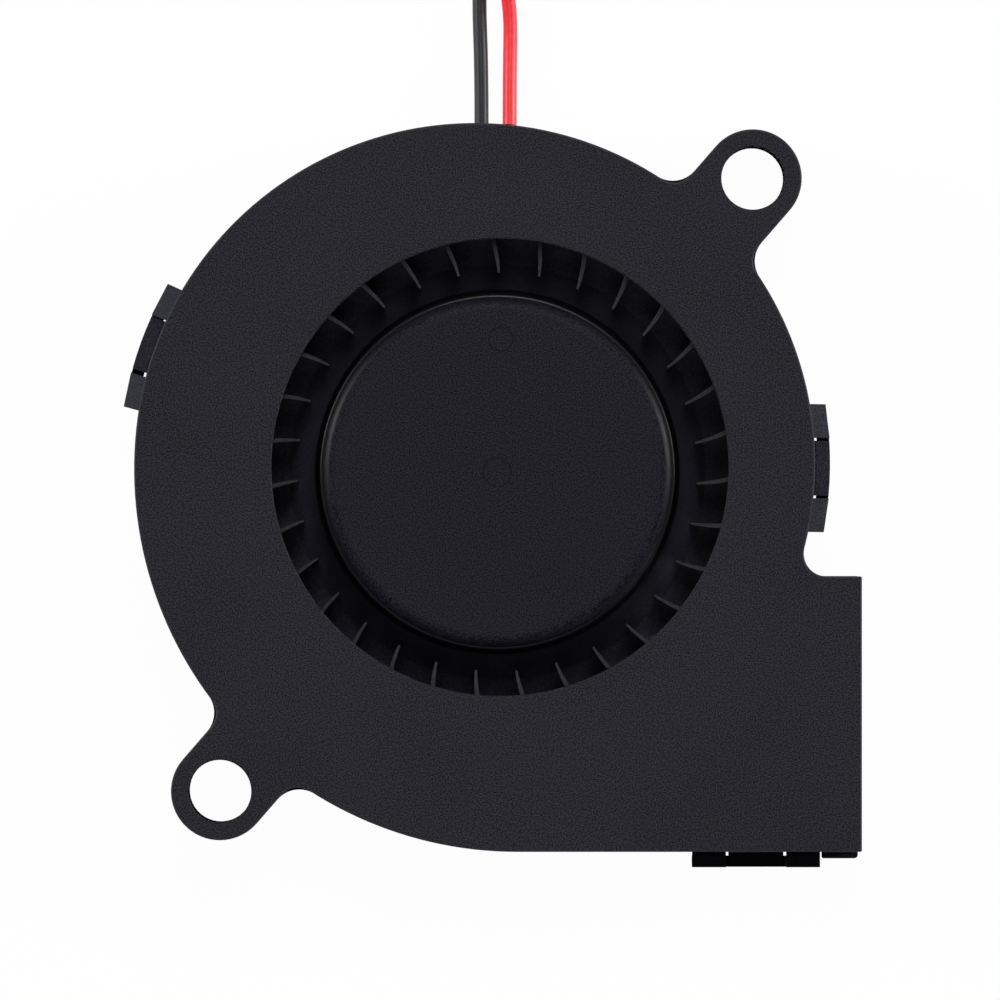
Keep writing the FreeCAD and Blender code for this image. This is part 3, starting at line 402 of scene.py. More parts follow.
def turning_group() -> bpy.types.NodeTree:
    """Fine rings left by a turning tool or a drawing die, about the upright axis."""
    nodes, given = new_group(
        Effect.TURNING.value, "ShaderNodeTree",
        {"Vector": Socket.VECTOR, "Pitch": Socket.NUMBER}, {"Mark": Socket.NUMBER})
    spot = nodes.add("ShaderNodeSeparateXYZ", given["Vector"]).outputs
    flat = nodes.add("ShaderNodeCombineXYZ", x=spot["X"], y=spot["Y"]).outputs[0]
    reach = nodes.add("ShaderNodeVectorMath", flat, operation="LENGTH").outputs["Value"]
    along = nodes.work_out("ADD", reach, spot["Z"])
    wave = nodes.add("ShaderNodeTexNoise", noise_dimensions="1D", w=along, scale=given["Pitch"],
                     detail=MARK_DETAIL)
    nodes.add("NodeGroupOutput", mark=wave.outputs["Fac"])
    return nodes.tree


class Effects:
    """The shared shader groups, each made once when it is first asked for."""

    made: dict[Effect, bpy.types.NodeTree] = {}
    makers: dict[Effect, Callable[[], bpy.types.NodeTree]] = {
        Effect.GRAIN: grain_group,
        Effect.TURNING: turning_group,
    }

    @classmethod
    def get(cls, effect: Effect) -> bpy.types.NodeTree:
        """The group of that effect."""
        if effect not in cls.made:
            cls.made[effect] = cls.makers[effect]()
        return cls.made[effect]


# Finishes


@dataclass(frozen=True)
class Finish:
    """One finish: its colour range, gloss and the effect that breaks it up."""

    name: str
    dark: Colour
    light: Colour
    roughness: float = 0.5
    metallic: float = 0.0
    specular: float = 0.5
    coat: float = 0.0
    subsurface: float = 0.0
    effect: Effect = Effect.GRAIN
    scale: float = 10000.0
    contrast: float = 1.0
    relief: float = 0.002

    def material(self) -> bpy.types.Material:
        """Build the finish as a material, or give the one already built."""
        known = bpy.data.materials.get(self.name)
        if known is not None:
            return known
        made = bpy.data.materials.new(self.name)
        made.use_nodes = True
        nodes = Nodes(made.node_tree)
        where = nodes.add("ShaderNodeTexCoord").outputs["Object"]
        sizes = {"pitch": self.scale}
        if self.effect is Effect.GRAIN:
            sizes = {"grain_scale": self.scale, "contrast": self.contrast}
        pattern = nodes.add("ShaderNodeGroup", node_tree=Effects.get(self.effect), vector=where, **sizes)
        tone, height = pattern.outputs[0], pattern.outputs[-1]
        paint = nodes.add("ShaderNodeMix", data_type="RGBA", factor=tone)
        nodes.feed((*self.dark, 1), paint.inputs[MIX_FIRST])
        nodes.feed((*self.light, 1), paint.inputs[MIX_SECOND])
        gloss = nodes.add("ShaderNodeMapRange", tone, to_min=self.roughness - ROUGHNESS_SPREAD,
                          to_max=self.roughness + ROUGHNESS_SPREAD)
        bump = nodes.add("ShaderNodeBump", strength=1.0, distance=self.relief * MM, height=height)
        shader = made.node_tree.nodes["Principled BSDF"]
        for label, value in {
                "Metallic": self.metallic, "Specular IOR Level": self.specular,
                "Coat Weight": self.coat, "Subsurface Weight": self.subsurface,
                "Base Color": paint.outputs[MIX_RESULT], "Roughness": gloss.outputs[0],
                "Normal": bump.outputs[0]}.items():
            nodes.feed(value, shader.inputs[label])
        return made


CHARCOAL = Finish("housing_charcoal", (0.0043, 0.004, 0.0064), (0.0314, 0.03, 0.0388),
                  roughness=0.6, specular=0.08, contrast=4.8)
# Painted highlight: the cover's outer upper rounding is lighter than the plate and stands in for the bright
# line along its edge.
COVER_EDGE_HIGHLIGHT = Finish("cover_edge_painted_highlight", (0.02, 0.021, 0.0265), (0.035, 0.037, 0.046),
                    specular=0.08, scale=9000.0, relief=0.001)
BASE_DARK = Finish("base_charcoal", (0.004, 0.004, 0.006), (0.028, 0.0272, 0.035),
                   roughness=0.6, specular=0.0, contrast=4.0)
LOOP_SMOOTH = Finish("loop_smooth", (0.011, 0.0116, 0.0163), (0.037, 0.0387, 0.0485),
                     roughness=0.42, specular=0.1, contrast=3.0)
# Painted shade: a near-black matt finish for the loop bars' tops, the mouth loop's tops and the base's catch
# in the mouth, where shade falls.
LOOP_PAINTED_SHADE = Finish("loop_painted_shade", (0.001, 0.001, 0.002), (0.004, 0.004, 0.0055),
                   roughness=0.6, specular=0.0, scale=6000.0, contrast=1.5)
FAN_FACE = Finish("impeller_face", (0.0008, 0.0008, 0.0025), (0.018, 0.0166, 0.0252),
                  roughness=0.48, specular=0.08, contrast=6.2)
FAN_RIM = Finish("impeller_rim", (0.001, 0.001, 0.0025), (0.0125, 0.0115, 0.018),
                 roughness=0.42, specular=0.16, contrast=4.6)
FAN_EDGE = Finish("impeller_edge", (0.004, 0.004, 0.0055), (0.009, 0.0085, 0.011),
                  roughness=0.3, specular=0.22, scale=9000.0, relief=0.001)
# Painted light: the blades are lighter than the hub's face, standing in for light in the deep channel
# between them.
FAN_BLADE_LIT = Finish("impeller_blade", (0.011, 0.011, 0.013), (0.038, 0.0372, 0.043),
                   specular=0.16, scale=7000.0, contrast=2.5)
# Painted light: the channel's skin (cone, back ring and the cup's inside) is several times lighter than the
# hub's face and stands in for light that hardly reaches down there.
FAN_CHANNEL_LIT = Finish("impeller_channel_painted_light", (0.031, 0.0305, 0.045), (0.07, 0.068, 0.098),
                     specular=0.15, scale=9000.0, contrast=3.0)
DRAWN_STEEL = Finish("drawn_steel", (0.42, 0.42, 0.43), (0.58, 0.58, 0.58), roughness=0.32,
                     metallic=1.0, effect=Effect.TURNING, scale=7000.0)
GROUND_STEEL = Finish("ground_steel", (0.66, 0.66, 0.67), (0.76, 0.76, 0.76), roughness=0.14,
                      metallic=1.0, effect=Effect.TURNING, scale=14000.0, relief=0.0008)
TURNED_BRASS = Finish("turned_brass", (0.60, 0.42, 0.16), (0.76, 0.55, 0.24), roughness=0.28,
                      metallic=1.0, effect=Effect.TURNING, scale=9000.0)
BRONZE = Finish("sintered_bronze", (0.26, 0.16, 0.08), (0.46, 0.31, 0.17),
                metallic=0.9, scale=9000.0, contrast=2.0, relief=0.006)
MAGNET = Finish("bonded_magnet", (0.022, 0.02, 0.018), (0.05, 0.045, 0.04), roughness=0.7,
                scale=7000.0, relief=0.008)
LAMINATED = Finish("stacked_steel", (0.22, 0.22, 0.23), (0.44, 0.44, 0.45), roughness=0.42,
                   metallic=1.0, effect=Effect.TURNING, scale=2200.0, relief=0.02)
NYLON = Finish("natural_nylon", (0.66, 0.64, 0.56), (0.78, 0.76, 0.69), roughness=0.4,
               subsurface=0.15, scale=2600.0)
BOBBIN = Finish("bobbin_cream", (0.60, 0.58, 0.52), (0.74, 0.72, 0.66), roughness=0.45, scale=3000.0)
COPPER = Finish("enamelled_copper", (0.36, 0.11, 0.035), (0.62, 0.25, 0.09), roughness=0.24,
                metallic=0.9, coat=0.5, scale=2500.0, relief=0.001)
TINNED = Finish("tinned_metal", (0.52, 0.52, 0.50), (0.72, 0.72, 0.70), roughness=0.3,
                metallic=1.0, scale=3200.0, relief=0.003)
BOARD_GREEN = Finish("board_mask", (0.008, 0.075, 0.03), (0.02, 0.13, 0.055), roughness=0.3,
                     coat=0.3, scale=1500.0)
CHIP_BLACK = Finish("chip_black", (0.012, 0.012, 0.013), (0.03, 0.03, 0.031), roughness=0.55,
                    scale=7000.0, relief=0.003)
LEAD_BLACK = Finish("black_sleeve", (0.006, 0.007, 0.0098), (0.012, 0.014, 0.0185), roughness=0.42,
                    specular=0.35, scale=2600.0, relief=0.003)
LEAD_RED = Finish("red_sleeve", (0.8, 0.016, 0.029), (0.97, 0.039, 0.058), roughness=0.36,
                  scale=2600.0, relief=0.003)
TIE_BLACK = Finish("tie_black", (0.012, 0.012, 0.012), (0.03, 0.03, 0.03), scale=3600.0, relief=0.004)
PLUG_WHITE = Finish("plug_white", (0.78, 0.77, 0.72), (0.88, 0.87, 0.83), roughness=0.34,
                    subsurface=0.2, scale=2200.0, relief=0.0015)

NODE_FINISHES: dict[str, Finish] = {
    "base_housing": BASE_DARK, "rotor_yoke": DRAWN_STEEL, "ring_magnet": MAGNET,
    "shaft_bush": TURNED_BRASS, "shaft": GROUND_STEEL, "retaining_washer": NYLON,
    "upper_washer": NYLON, "bearing_sleeve": BRONZE, "thrust_pad": NYLON,
    "stator_core": LAMINATED, "upper_bobbin": BOBBIN, "lower_bobbin": BOBBIN,
    "bobbin_pins": TINNED, "circuit_board": BOARD_GREEN, "hall_sensor": CHIP_BLACK,
    "driver_chip": CHIP_BLACK, "board_chips": CHIP_BLACK, "solder_joints": TINNED,
    "black_lead_inner": LEAD_BLACK, "red_lead_inner": LEAD_RED, "crimp_contacts": TINNED,
}


def dress_nodes() -> None:
    """Give every CAD node that stays its finish."""
    for name, finish in NODE_FINISHES.items():
        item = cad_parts[name]
        item.data.materials.clear()
        item.data.materials.append(finish.material())
        log.info("%s keeps its own shape", name)


# Meshes


def new_object(name: str, data: bpy.types.ID) -> bpy.types.Object:
    """An object around some data, in the scene."""
    item = bpy.data.objects.new(name, data)
    bpy.context.scene.collection.objects.link(item)
    return item


def node_box(name: str) -> tuple[Vector, Vector]:
    """The two corners of a CAD node's box, in millimetres."""
    low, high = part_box(name)
    return low / MM, high / MM


def lay_along_y(point: Vector) -> Vector:
    """Where a point of an upright plate goes when its height runs along -Y."""
    return Vector((point.x, -point.z, point.y))


class Moulding:
    """A mesh in the making, in millimetres until it becomes a piece."""

    def __init__(self, *finishes: Finish) -> None:
        """Start with nothing, in the first of its finishes."""
        self.bm = bmesh.new()
        self.finishes = finishes
        self.coat = 0

    def wear(self, finish: Finish) -> None:
        """Give what is added next another of the finishes."""
        self.coat = self.finishes.index(finish)

    def repaint(self, level: float, reach: float, finish: Finish) -> None:
        """Give another finish to the faces whose middle lies at about one height."""
        for face in self.bm.faces:
            if abs(face.calc_center_median().z - level) < reach:
                face.material_index = self.finishes.index(finish)

    def skin(self, corners: Sequence[bmesh.types.BMVert]) -> None:
        """Add one smooth face in the present finish."""
        face = self.bm.faces.new(corners)
        face.smooth = True
        face.material_index = self.coat

    @staticmethod
    def outward(loop: Loop) -> list[Vector]:
        """The outward mitre at each corner of a counter-clockwise loop."""
        mitres = []
        for i, point in enumerate(loop):
            here = Vector(point)
            before = (here - Vector(loop[i - 1])).normalized()
            after = (Vector(loop[(i + 1) % len(loop)]) - here).normalized()
            first, last = Vector((before.y, -before.x)), Vector((after.y, -after.x))
            middle = (first + last).normalized()
            mitres.append(middle / max(middle.dot(first), MITRE_HOLD))
        return mitres

    @staticmethod
    def rounding(radius: float, level: float, steps: int, upper: bool) -> Loop:
        """The rings across one rounded edge of a plate.

        Args:
            radius: The edge's radius, or 0 for a sharp one.
            level: Height of the plate's face.
            steps: Facets across the rounding.
            upper: Whether it is the upper edge.

        Returns:
            Inset and height of each ring, from the lowest up.
        """
        if not radius:
            return [(0.0, level)]
        rings = []
        for i in range(steps + 1):
            turn = math.pi / 2 * (i / steps if upper else 1 - i / steps)
            drop = radius * (1 - math.sin(turn))
            rings.append((radius * (1 - math.cos(turn)), level - drop if upper else level + drop))
        return rings

    def cap(self, edges: list[bmesh.types.BMEdge], facing: Vector) -> None:
        """Close a ring of edges, with its holes, by flat faces that look one way."""
        before = set(self.bm.faces)
        bmesh.ops.triangle_fill(self.bm, use_beauty=True, use_dissolve=False, edges=edges)
        for face in self.bm.faces:
            if face in before:
                continue
            face.normal_update()
            if face.normal.dot(facing) < 0:
                face.normal_flip()
            face.smooth = False
            face.material_index = self.coat

    def plate(self, loops: Sequence[Loop], low: float, high: float, top_round: float = 0.0,
              bottom_round: float = 0.0, steps: int = 4, place: Place = Vector,
              edge_finish: Finish | None = None) -> "Moulding":
        """Raise an outline with holes into a plate whose edges are rounded.

        Args:
            loops: The outer loop first, then the holes, each counter-clockwise.
            low: Height of the lower face.
            high: Height of the upper face.
            top_round: Radius of the upper edges.
            bottom_round: Radius of the lower edges.
            steps: Facets across each rounding.
            place: Where a point of the upright plate goes, for a bent or turned one.
            edge_finish: The finish of the outer loop's upper rounding, if it has its own.

        Returns:
            This moulding.
        """
        rings = self.rounding(bottom_round, low, steps, upper=False)
        wall = len(rings)
        rings += self.rounding(top_round, high, steps, upper=True)
        coat = self.coat
        lower, upper = [], []
        for number, loop in enumerate(loops):
            side = 1 if number == 0 else -1
            rows = []
            for inset, height in rings:
                spots = [Vector(point) - mitre * inset * side
                         for point, mitre in zip(loop, self.outward(loop))]
                rows.append([self.bm.verts.new(place(Vector((*spot, height)))) for spot in spots])
            for level, (under, over) in enumerate(zip(rows, rows[1:])):
                if edge_finish is not None and number == 0 and level >= wall:
                    self.wear(edge_finish)
                for i in range(len(loop)):
                    j = (i + 1) % len(loop)
                    self.skin([under[i], under[j], over[j], over[i]][::side])
            self.coat = coat
            for edges, row in ((lower, rows[0]), (upper, rows[-1])):
                edges += [self.bm.edges.get((row[i - 1], row[i])) for i in range(len(row))]
        x, y = loops[0][0]
        upwards = place(Vector((x, y, low + 1))) - place(Vector((x, y, low)))
        self.cap(lower, -upwards)
        self.cap(upper, upwards)
        return self

    def lathe(self, profile: Loop, segments: int) -> "Moulding":
        """Turn an open profile about the upright axis.

        Args:
            profile: Radius and height of each point, with the material on its right; a
                radius of 0 closes on the axis.
            segments: Facets around the axis.

        Returns:
            This moulding.
        """
        rows = []
        for radius, height in reversed(profile):
            count = 1 if radius < ON_AXIS else segments
            rows.append([self.bm.verts.new((*polar((0.0, 0.0), radius, 360 * i / segments), height))
                         for i in range(count)])
        for one, two in zip(rows, rows[1:]):
            for i in range(segments):
                j = (i + 1) % segments
                ring = [one[i % len(one)], one[j % len(one)], two[j % len(two)], two[i % len(two)]]
                corners = list(dict.fromkeys(ring))
                if len(corners) > 2:
                    self.skin(corners)
        return self

    def piece(self, name: str) -> bpy.types.Object:
        """Close the seams, scale to metres and make the object.

        Args:
            name: The piece's name.

        Returns:
            The object, at the origin.
        """
        bmesh.ops.remove_doubles(self.bm, verts=self.bm.verts, dist=WELD)
        bmesh.ops.scale(self.bm, vec=(MM, MM, MM), verts=self.bm.verts)
        mesh = bpy.data.meshes.new(name)
        smooth = [face.smooth for face in self.bm.faces]
        self.bm.to_mesh(mesh)
        self.bm.free()
        mesh.set_sharp_from_angle(angle=SHARP_ANGLE)
        mesh.polygons.foreach_set("use_smooth", smooth)
        for finish in self.finishes:
            mesh.materials.append(finish.material())
        return new_object(name, mesh)


def grow(item: bpy.types.Object, tree: bpy.types.NodeTree,
         values: dict[str, object]) -> bpy.types.Object:
    """Run a geometry node tree on a piece and keep the result as a plain mesh.

    Args:
        item: The piece whose mesh the tree starts from.
        tree: The node tree.
        values: Input name to value.

    Returns:
        The same piece with its new mesh and no modifier.
    """
    maker = item.modifiers.new(tree.name, "NODES")
    maker.node_group = tree
    for socket in tree.interface.items_tree:
        if getattr(socket, "in_out", "") == "INPUT" and socket.name in values:
            maker[socket.identifier] = values[socket.name]
    scene_state = bpy.context.evaluated_depsgraph_get()
    mesh = bpy.data.meshes.new_from_object(item.evaluated_get(scene_state))
    item.modifiers.clear()
    old = item.data
    item.data = mesh
    mesh.name = item.name
    bpy.data.meshes.remove(old)
    return item


def settle(item: bpy.types.Object, body: Body, slot: Slot, *nodes: str) -> bpy.types.Object:
    """Let a piece ride on its body and stand for its nodes, and report it.

    Args:
        item: The piece.
        body: The body that it rides on.
        slot: Not used.
        nodes: The CAD nodes that it stands for.

    Returns:
        The same piece.
    """
    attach(item, body.value)
    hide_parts(*nodes)
    log.info("%s on %s stands for %s", item.name, body.value, ", ".join(nodes))
    return item


# Sub-assemblies


@dataclass
class SnapLoop:
    """One loop of the cover, which hangs outside the wall and takes a catch of the base."""

    centre: Point
    angle: float
    wall: float
    curved: bool = True
    top_finish: Finish = LOOP_SMOOTH
    splay: float = 0.0
    width: float = 8.97
    reach: float = 1.08
    gap: float = 0.3
    low: float = 8.25
    bar_top: float = 9.75
    top: float = 14.65
    window: float = 4.22
    seam: float = 13.8
    fall: float = 0.45
    edge: float = 0.09
    back_edge: float = 0.04
    top_edge: float = 0.06
    root: float = 0.4

    def at(self, along: float, out: float, height: float) -> Vector:
        """The place of a point along the wall, out from it and at a height; the top falls outwards."""
        share = max(0.0, (height - self.seam) / (self.top - self.seam))
        height -= share * max(out, 0.0) * self.fall
        along *= 1 + self.splay * out
        if self.curved:
            forward = math.sqrt((self.wall + out) ** 2 - along ** 2)
            x, y = polar(polar(self.centre, forward, self.angle), along, self.angle + 90)
        else:
            x, y = self.centre[0] + along, self.centre[1] - self.wall - out
        return Vector((x, y, height))

    def build(self, hooks: Moulding) -> None:
        """Add the loop to the moulding of all loops: its front first, then its two tops."""
        half, window, top = self.width / 2, self.window / 2, self.seam + LAP
        front = [(-half, self.low), (0, self.low), (half, self.low), (half, top), (window, top),
                 (window, self.bar_top), (0, self.bar_top), (-window, self.bar_top),
                 (-window, top), (-half, top)]
        if self.curved:
            front = [(-x, z) for x, z in front][::-1]
        hooks.wear(CHARCOAL)
        hooks.plate([front], self.gap, self.reach, self.edge, self.back_edge, BEVEL_STEPS,
                    lambda p: self.at(-p.x if self.curved else p.x, p.z, p.y))
        # The bar's top between the legs is painted near-black: painted shade under the catch.
        hooks.repaint(self.bar_top, self.edge, LOOP_PAINTED_SHADE)
        hooks.wear(self.top_finish)
        for sign in (-1, 1):
            left, right = sorted((sign * window, sign * half))
            hooks.plate([rectangle(left, right, -self.root, self.reach)], self.seam, self.top,
                        self.top_edge, steps=BEVEL_STEPS, place=lambda p: self.at(p.x, p.y, p.z))


@dataclass
class IntakeCover:
    """The flat cover: plate, intake, ears, lip and the three loops."""

    scroll: ScrollOutline
    low: float = 13.8
    top: float = 15.0
    intake_centre: Point = (0.18, 0.32)
    intake_radius: float = 16.01
    edge: float = 0.12
    under_edge: float = 0.05
    lip_low: float = 13.0
    lip_outer: float = 1.22
    lip_inner: float = 1.92
    lip_edge: float = 0.1
    mouth_loop: Point = (18.12, 0.0)
    catch_half: float = 2.4
    catch_start: float = 0.05

    def build(self) -> None:
        """Make the plate and the loops, which both stand for the cover's node."""
        scroll = self.scroll
        cover = Moulding(CHARCOAL, COVER_EDGE_HIGHLIGHT)
        holes = [circle(self.intake_centre, self.intake_radius), *scroll.ear_holes()]
        # The outer upper rounding takes the painted-highlight finish.
        cover.plate([scroll.whole(), *holes], self.low, self.top, self.edge, self.under_edge,
                    edge_finish=COVER_EDGE_HIGHLIGHT)
        cover.plate([scroll.band(self.lip_outer, self.lip_inner)], self.lip_low, self.low + LAP,
                    bottom_round=self.lip_edge, steps=FINE_STEPS)
        settle(cover.piece("cover_plate"), Body.HOUSING, Slot.HOUSING, "intake_cover")
        hooks = Moulding(LOOP_SMOOTH, LOOP_PAINTED_SHADE, CHARCOAL)
        # The mouth loop's tops take the near-black painted shade, where no light reaches them from below.
        for loop in (SnapLoop(scroll.small_centre, 160.25, scroll.small_radius, splay=0.018),
                     SnapLoop(scroll.small_centre, -0.8, scroll.small_radius),
                     SnapLoop(self.mouth_loop, -90.0, scroll.depth, False, LOOP_PAINTED_SHADE)):
            loop.build(hooks)
        settle(hooks.piece("cover_loops"), Body.HOUSING, Slot.HOUSING, "intake_cover")

    def shade_mouth_catch(self) -> None:
        """Paint shade on the base's catch in the mouth's loop: its faces take the loops' near-black
        painted-shade finish.
        """
        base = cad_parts["base_housing"].data
        base.materials.append(LOOP_PAINTED_SHADE.material())
        for face in base.polygons:
            aside = abs(face.center.x / MM - self.mouth_loop[0])
            out = -face.center.y / MM - self.scroll.depth
            if aside < self.catch_half and out > self.catch_start:
                face.material_index = len(base.materials) - 1


@dataclass
class Impeller:
    """The hub cup with its rounded rim, the cone, the back ring and the curved blades."""

    hub_top: float = 14.4
    hub_radius: float = 12.45
    hub_foot: float = 12.80
    hub_round: float = 1.05
    hub_bore: float = 11.49
    draft: float = 0.02
    foot_rise: float = 0.4
    foot_spread: float = 0.08
    cone_radius: float = 14.58
    cone_height: float = 2.6
    cone_spread: float = 0.14
    fold: float = 0.1
    ring_low: float = 2.6
    ring_top: float = 3.5
    radius: float = 19.28
    bush_seat: float = 2.22
    boss_radius: float = 3.02
    boss_low: float = 11.7
    ceiling: float = 13.4
    bush_top: float = 13.92
    blade_root: float = 13.97
    blade_top: float = 12.9
    blade_edge: float = 0.04
    blade_count: int = 31
    root_half: float = 0.085
    tip_half: float = 0.175
    front_bend: float = 15.5
    back_bend: float = 10.5
    sweep: float = 5.1
    start: float = 8.29
    segments: int = 192
    rim_turn: float = 65.0
    bead: float = 0.12
    bead_start: float = 32.0
    bead_end: float = 60.0
    bead_drop: float = 0.05
    mark_depth: float = 0.07
    mark_width: float = 0.07
    marks: tuple[tuple[Point, float], ...] = (((0.0, 0.0), 1.0), ((0.25, 9.3), 0.85))

    @property
    def foot(self) -> float:
        """The height at which the cup ends and the cone starts."""
        return self.ring_top + self.cone_height

    def under_face(self) -> Loop:
        """The floor of the marks, under the cup's face, and the step up to it."""
        edge, floor = self.hub_radius - self.hub_round, self.hub_top - self.mark_depth
        return [(0.0, floor), (edge, floor), (edge, self.hub_top)]

    def rim(self, start: float, end: float) -> Loop:
        """A part of the wide rounding between the cup's face and its side."""
        rim = self.hub_round
        return arc((self.hub_radius - rim, self.hub_top - rim), rim, start, end)

    def edge(self) -> Loop:
        """The crisp bead that ends the rounded rim."""
        last = self.rim(self.rim_turn, self.bead_start)[-1]
        return [last] + arc((self.hub_radius - self.bead, last[1] - self.bead), self.bead,
                            self.bead_end, 0)

    def wall(self) -> Loop:
        """The cup's upright side, from the bead down to its foot."""
        last = self.edge()[-1]
        return [last, (last[0] - self.draft, last[1] - self.bead_drop),
                (self.hub_foot - self.draft, self.foot + self.foot_rise)]

    def inside(self) -> Loop:
        """The skin from the cup's foot over the cone and the ring into the cup's hollow."""
        foot, fold, bevel = self.foot, self.fold, SMALL_BEVEL
        return [(self.hub_foot - self.draft, foot + self.foot_rise), (self.hub_foot, foot + fold),
                (self.hub_foot + self.foot_spread, foot - fold),
                (self.cone_radius - self.foot_spread, self.ring_top + fold),
                (self.cone_radius + self.cone_spread, self.ring_top),
                (self.radius - bevel, self.ring_top), (self.radius, self.ring_top - bevel),
                (self.radius, self.ring_low + bevel), (self.radius - bevel, self.ring_low),
                (self.hub_bore, self.ring_low), (self.hub_bore, self.ceiling),
                (self.boss_radius, self.ceiling), (self.boss_radius, self.boss_low),
                (self.bush_seat, self.boss_low), (self.bush_seat, self.bush_top),
                (0.0, self.bush_top)]

    def blade_section(self) -> Loop:
        """One blade's closed section: thin at the root, thicker and rounded at the tip."""
        tip = polar((0, 0), self.radius, self.sweep)
        lean = math.radians(self.sweep)
        aside = (self.tip_half * math.sin(lean), self.tip_half * math.cos(lean))
        front = self.bend((self.blade_root, self.root_half), (tip[0] - aside[0], tip[1] + aside[1]),
                          self.front_bend)
        back = self.bend((self.blade_root, -self.root_half), (tip[0] + aside[0], tip[1] - aside[1]),
                         self.back_bend)
        return back + front[::-1]

    @staticmethod
    def bend(start: Point, end: Point, radius: float) -> Loop:
        """An arc of that radius from one point to another, bulging to the right of the way."""
        first, last = Vector(start), Vector(end)
        chord = last - first
        normal = Vector((-chord.y, chord.x)).normalized()
        centre = (first + last) / 2 + normal * math.sqrt(radius ** 2 - chord.length_squared / 4)
        middle = (centre.x, centre.y)
        return arc(middle, radius, heading(middle, start), heading(middle, end))

    def blade_ring(self) -> bpy.types.NodeTree:
        """Geometry nodes that repeat one blade around the axis."""
        nodes, given = new_group(
            "blade_ring", "GeometryNodeTree",
            {"Blade": Socket.SHAPE, "Count": Socket.COUNT, "Start Angle": Socket.NUMBER,
             "Finish": Socket.FINISH}, {"Blades": Socket.SHAPE})
        ring = nodes.around(given["Blade"], given["Count"], given["Start Angle"])
        return nodes.dress(ring, given["Finish"])

    def build(self) -> None:
        """Make the hub and the blades."""
        half, low = self.mark_width / 2, self.hub_top - 2 * self.mark_depth
        rings = [circle(centre, radius + half) for centre, radius in self.marks]
        hub = Moulding(FAN_FACE, FAN_CHANNEL_LIT, FAN_EDGE, FAN_RIM).lathe(self.under_face(), self.segments)
        hub.plate([circle((0.0, 0.0), self.hub_radius - self.hub_round), *rings], low, self.hub_top)
        for centre, radius in self.marks:
            hub.plate([circle(centre, radius - half)], low, self.hub_top)
        # The inside skin takes the channel's lighter painted-light finish.
        for finish, skin in ((FAN_FACE, self.wall()), (FAN_FACE, self.rim(90, self.rim_turn)),
                             (FAN_CHANNEL_LIT, self.inside()), (FAN_EDGE, self.edge()),
                             (FAN_RIM, self.rim(self.rim_turn, self.bead_start))):
            hub.wear(finish)
            hub.lathe(skin, self.segments)
        settle(hub.piece("impeller_hub"), Body.ROTOR, Slot.IMPELLER, "impeller")
        # The blades take the lighter painted-light blade finish.
        blade = Moulding(FAN_BLADE_LIT).plate([self.blade_section()], self.ring_top - LAP, self.blade_top,
                                          self.blade_edge, steps=FINE_STEPS).piece("impeller_blades")
        grow(blade, self.blade_ring(), {"Count": self.blade_count, "Finish": FAN_BLADE_LIT.material(),
                                        "Start Angle": math.radians(self.start)})
        settle(blade, Body.ROTOR, Slot.IMPELLER, "impeller")


@dataclass
class Winding:
    """The enamelled wire on the four poles, as neat closed turns."""

    inner: float = 5.42
    outer: float = 7.75
    half_width: float = 2.35
    wire: float = 0.11
    wire_sides: int = 8
    corner: float = 0.6
    corner_steps: int = 4
    turns: int = 10
    poles: int = 4

    def turn_ring(self) -> bpy.types.NodeTree:
        """Geometry nodes that lay turns of wire along each pole and repeat the poles."""
        sizes = dict.fromkeys(("Width", "Height", "Wire Radius", "Inner", "Pitch", "Middle"),
                              Socket.NUMBER)
        nodes, given = new_group(
            "pole_winding", "GeometryNodeTree",
            {"Start": Socket.SHAPE, "Turns": Socket.COUNT, "Poles": Socket.COUNT, **sizes,
             "Finish": Socket.FINISH}, {"Windings": Socket.SHAPE})
        turn = nodes.add("GeometryNodeCurvePrimitiveQuadrilateral", width=given["Width"],
                         height=given["Height"])
        soft = nodes.add("GeometryNodeFilletCurve", mode="POLY", curve=turn.outputs[0],
                         count=self.corner_steps, radius=self.corner * MM)
        section = nodes.add("GeometryNodeCurvePrimitiveCircle", resolution=self.wire_sides,
                            radius=given["Wire Radius"])
        wire = nodes.add("GeometryNodeCurveToMesh", curve=soft.outputs[0],
                         profile_curve=section.outputs[0])
        stand = nodes.add("GeometryNodeTransform", geometry=wire.outputs[0],
                          rotation=(math.pi / 2, 0, math.pi / 2))
        first = nodes.add("ShaderNodeCombineXYZ", x=given["Inner"], z=given["Middle"])
        gap = nodes.add("ShaderNodeCombineXYZ", x=given["Pitch"])
        row = nodes.add("GeometryNodeMeshLine", count=given["Turns"], start_location=first.outputs[0],
                        offset=gap.outputs[0])
        lay = nodes.add("GeometryNodeInstanceOnPoints", points=row.outputs[0],
                        instance=stand.outputs[0])
        pole = nodes.add("GeometryNodeRealizeInstances", lay.outputs[0])
        return nodes.dress(nodes.around(pole.outputs[0], given["Poles"], 0.0), given["Finish"])

    def build(self) -> None:
        """Make the windings."""
        item = new_object("pole_windings", bpy.data.meshes.new("pole_windings"))
        low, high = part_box("stator_coils")
        room = (self.outer - self.inner - 2 * self.wire) * MM
        grow(item, self.turn_ring(), {
            "Turns": self.turns, "Poles": self.poles,
            "Width": (self.half_width - self.wire) * 2 * MM,
            "Height": high.z - low.z - 2 * self.wire * MM,
            "Wire Radius": self.wire * MM, "Inner": (self.inner + self.wire) * MM,
            "Pitch": room / (self.turns - 1), "Middle": (high.z + low.z) / 2,
            "Finish": COPPER.material()})
        settle(item, Body.HOUSING, Slot.WINDING, "stator_coils")


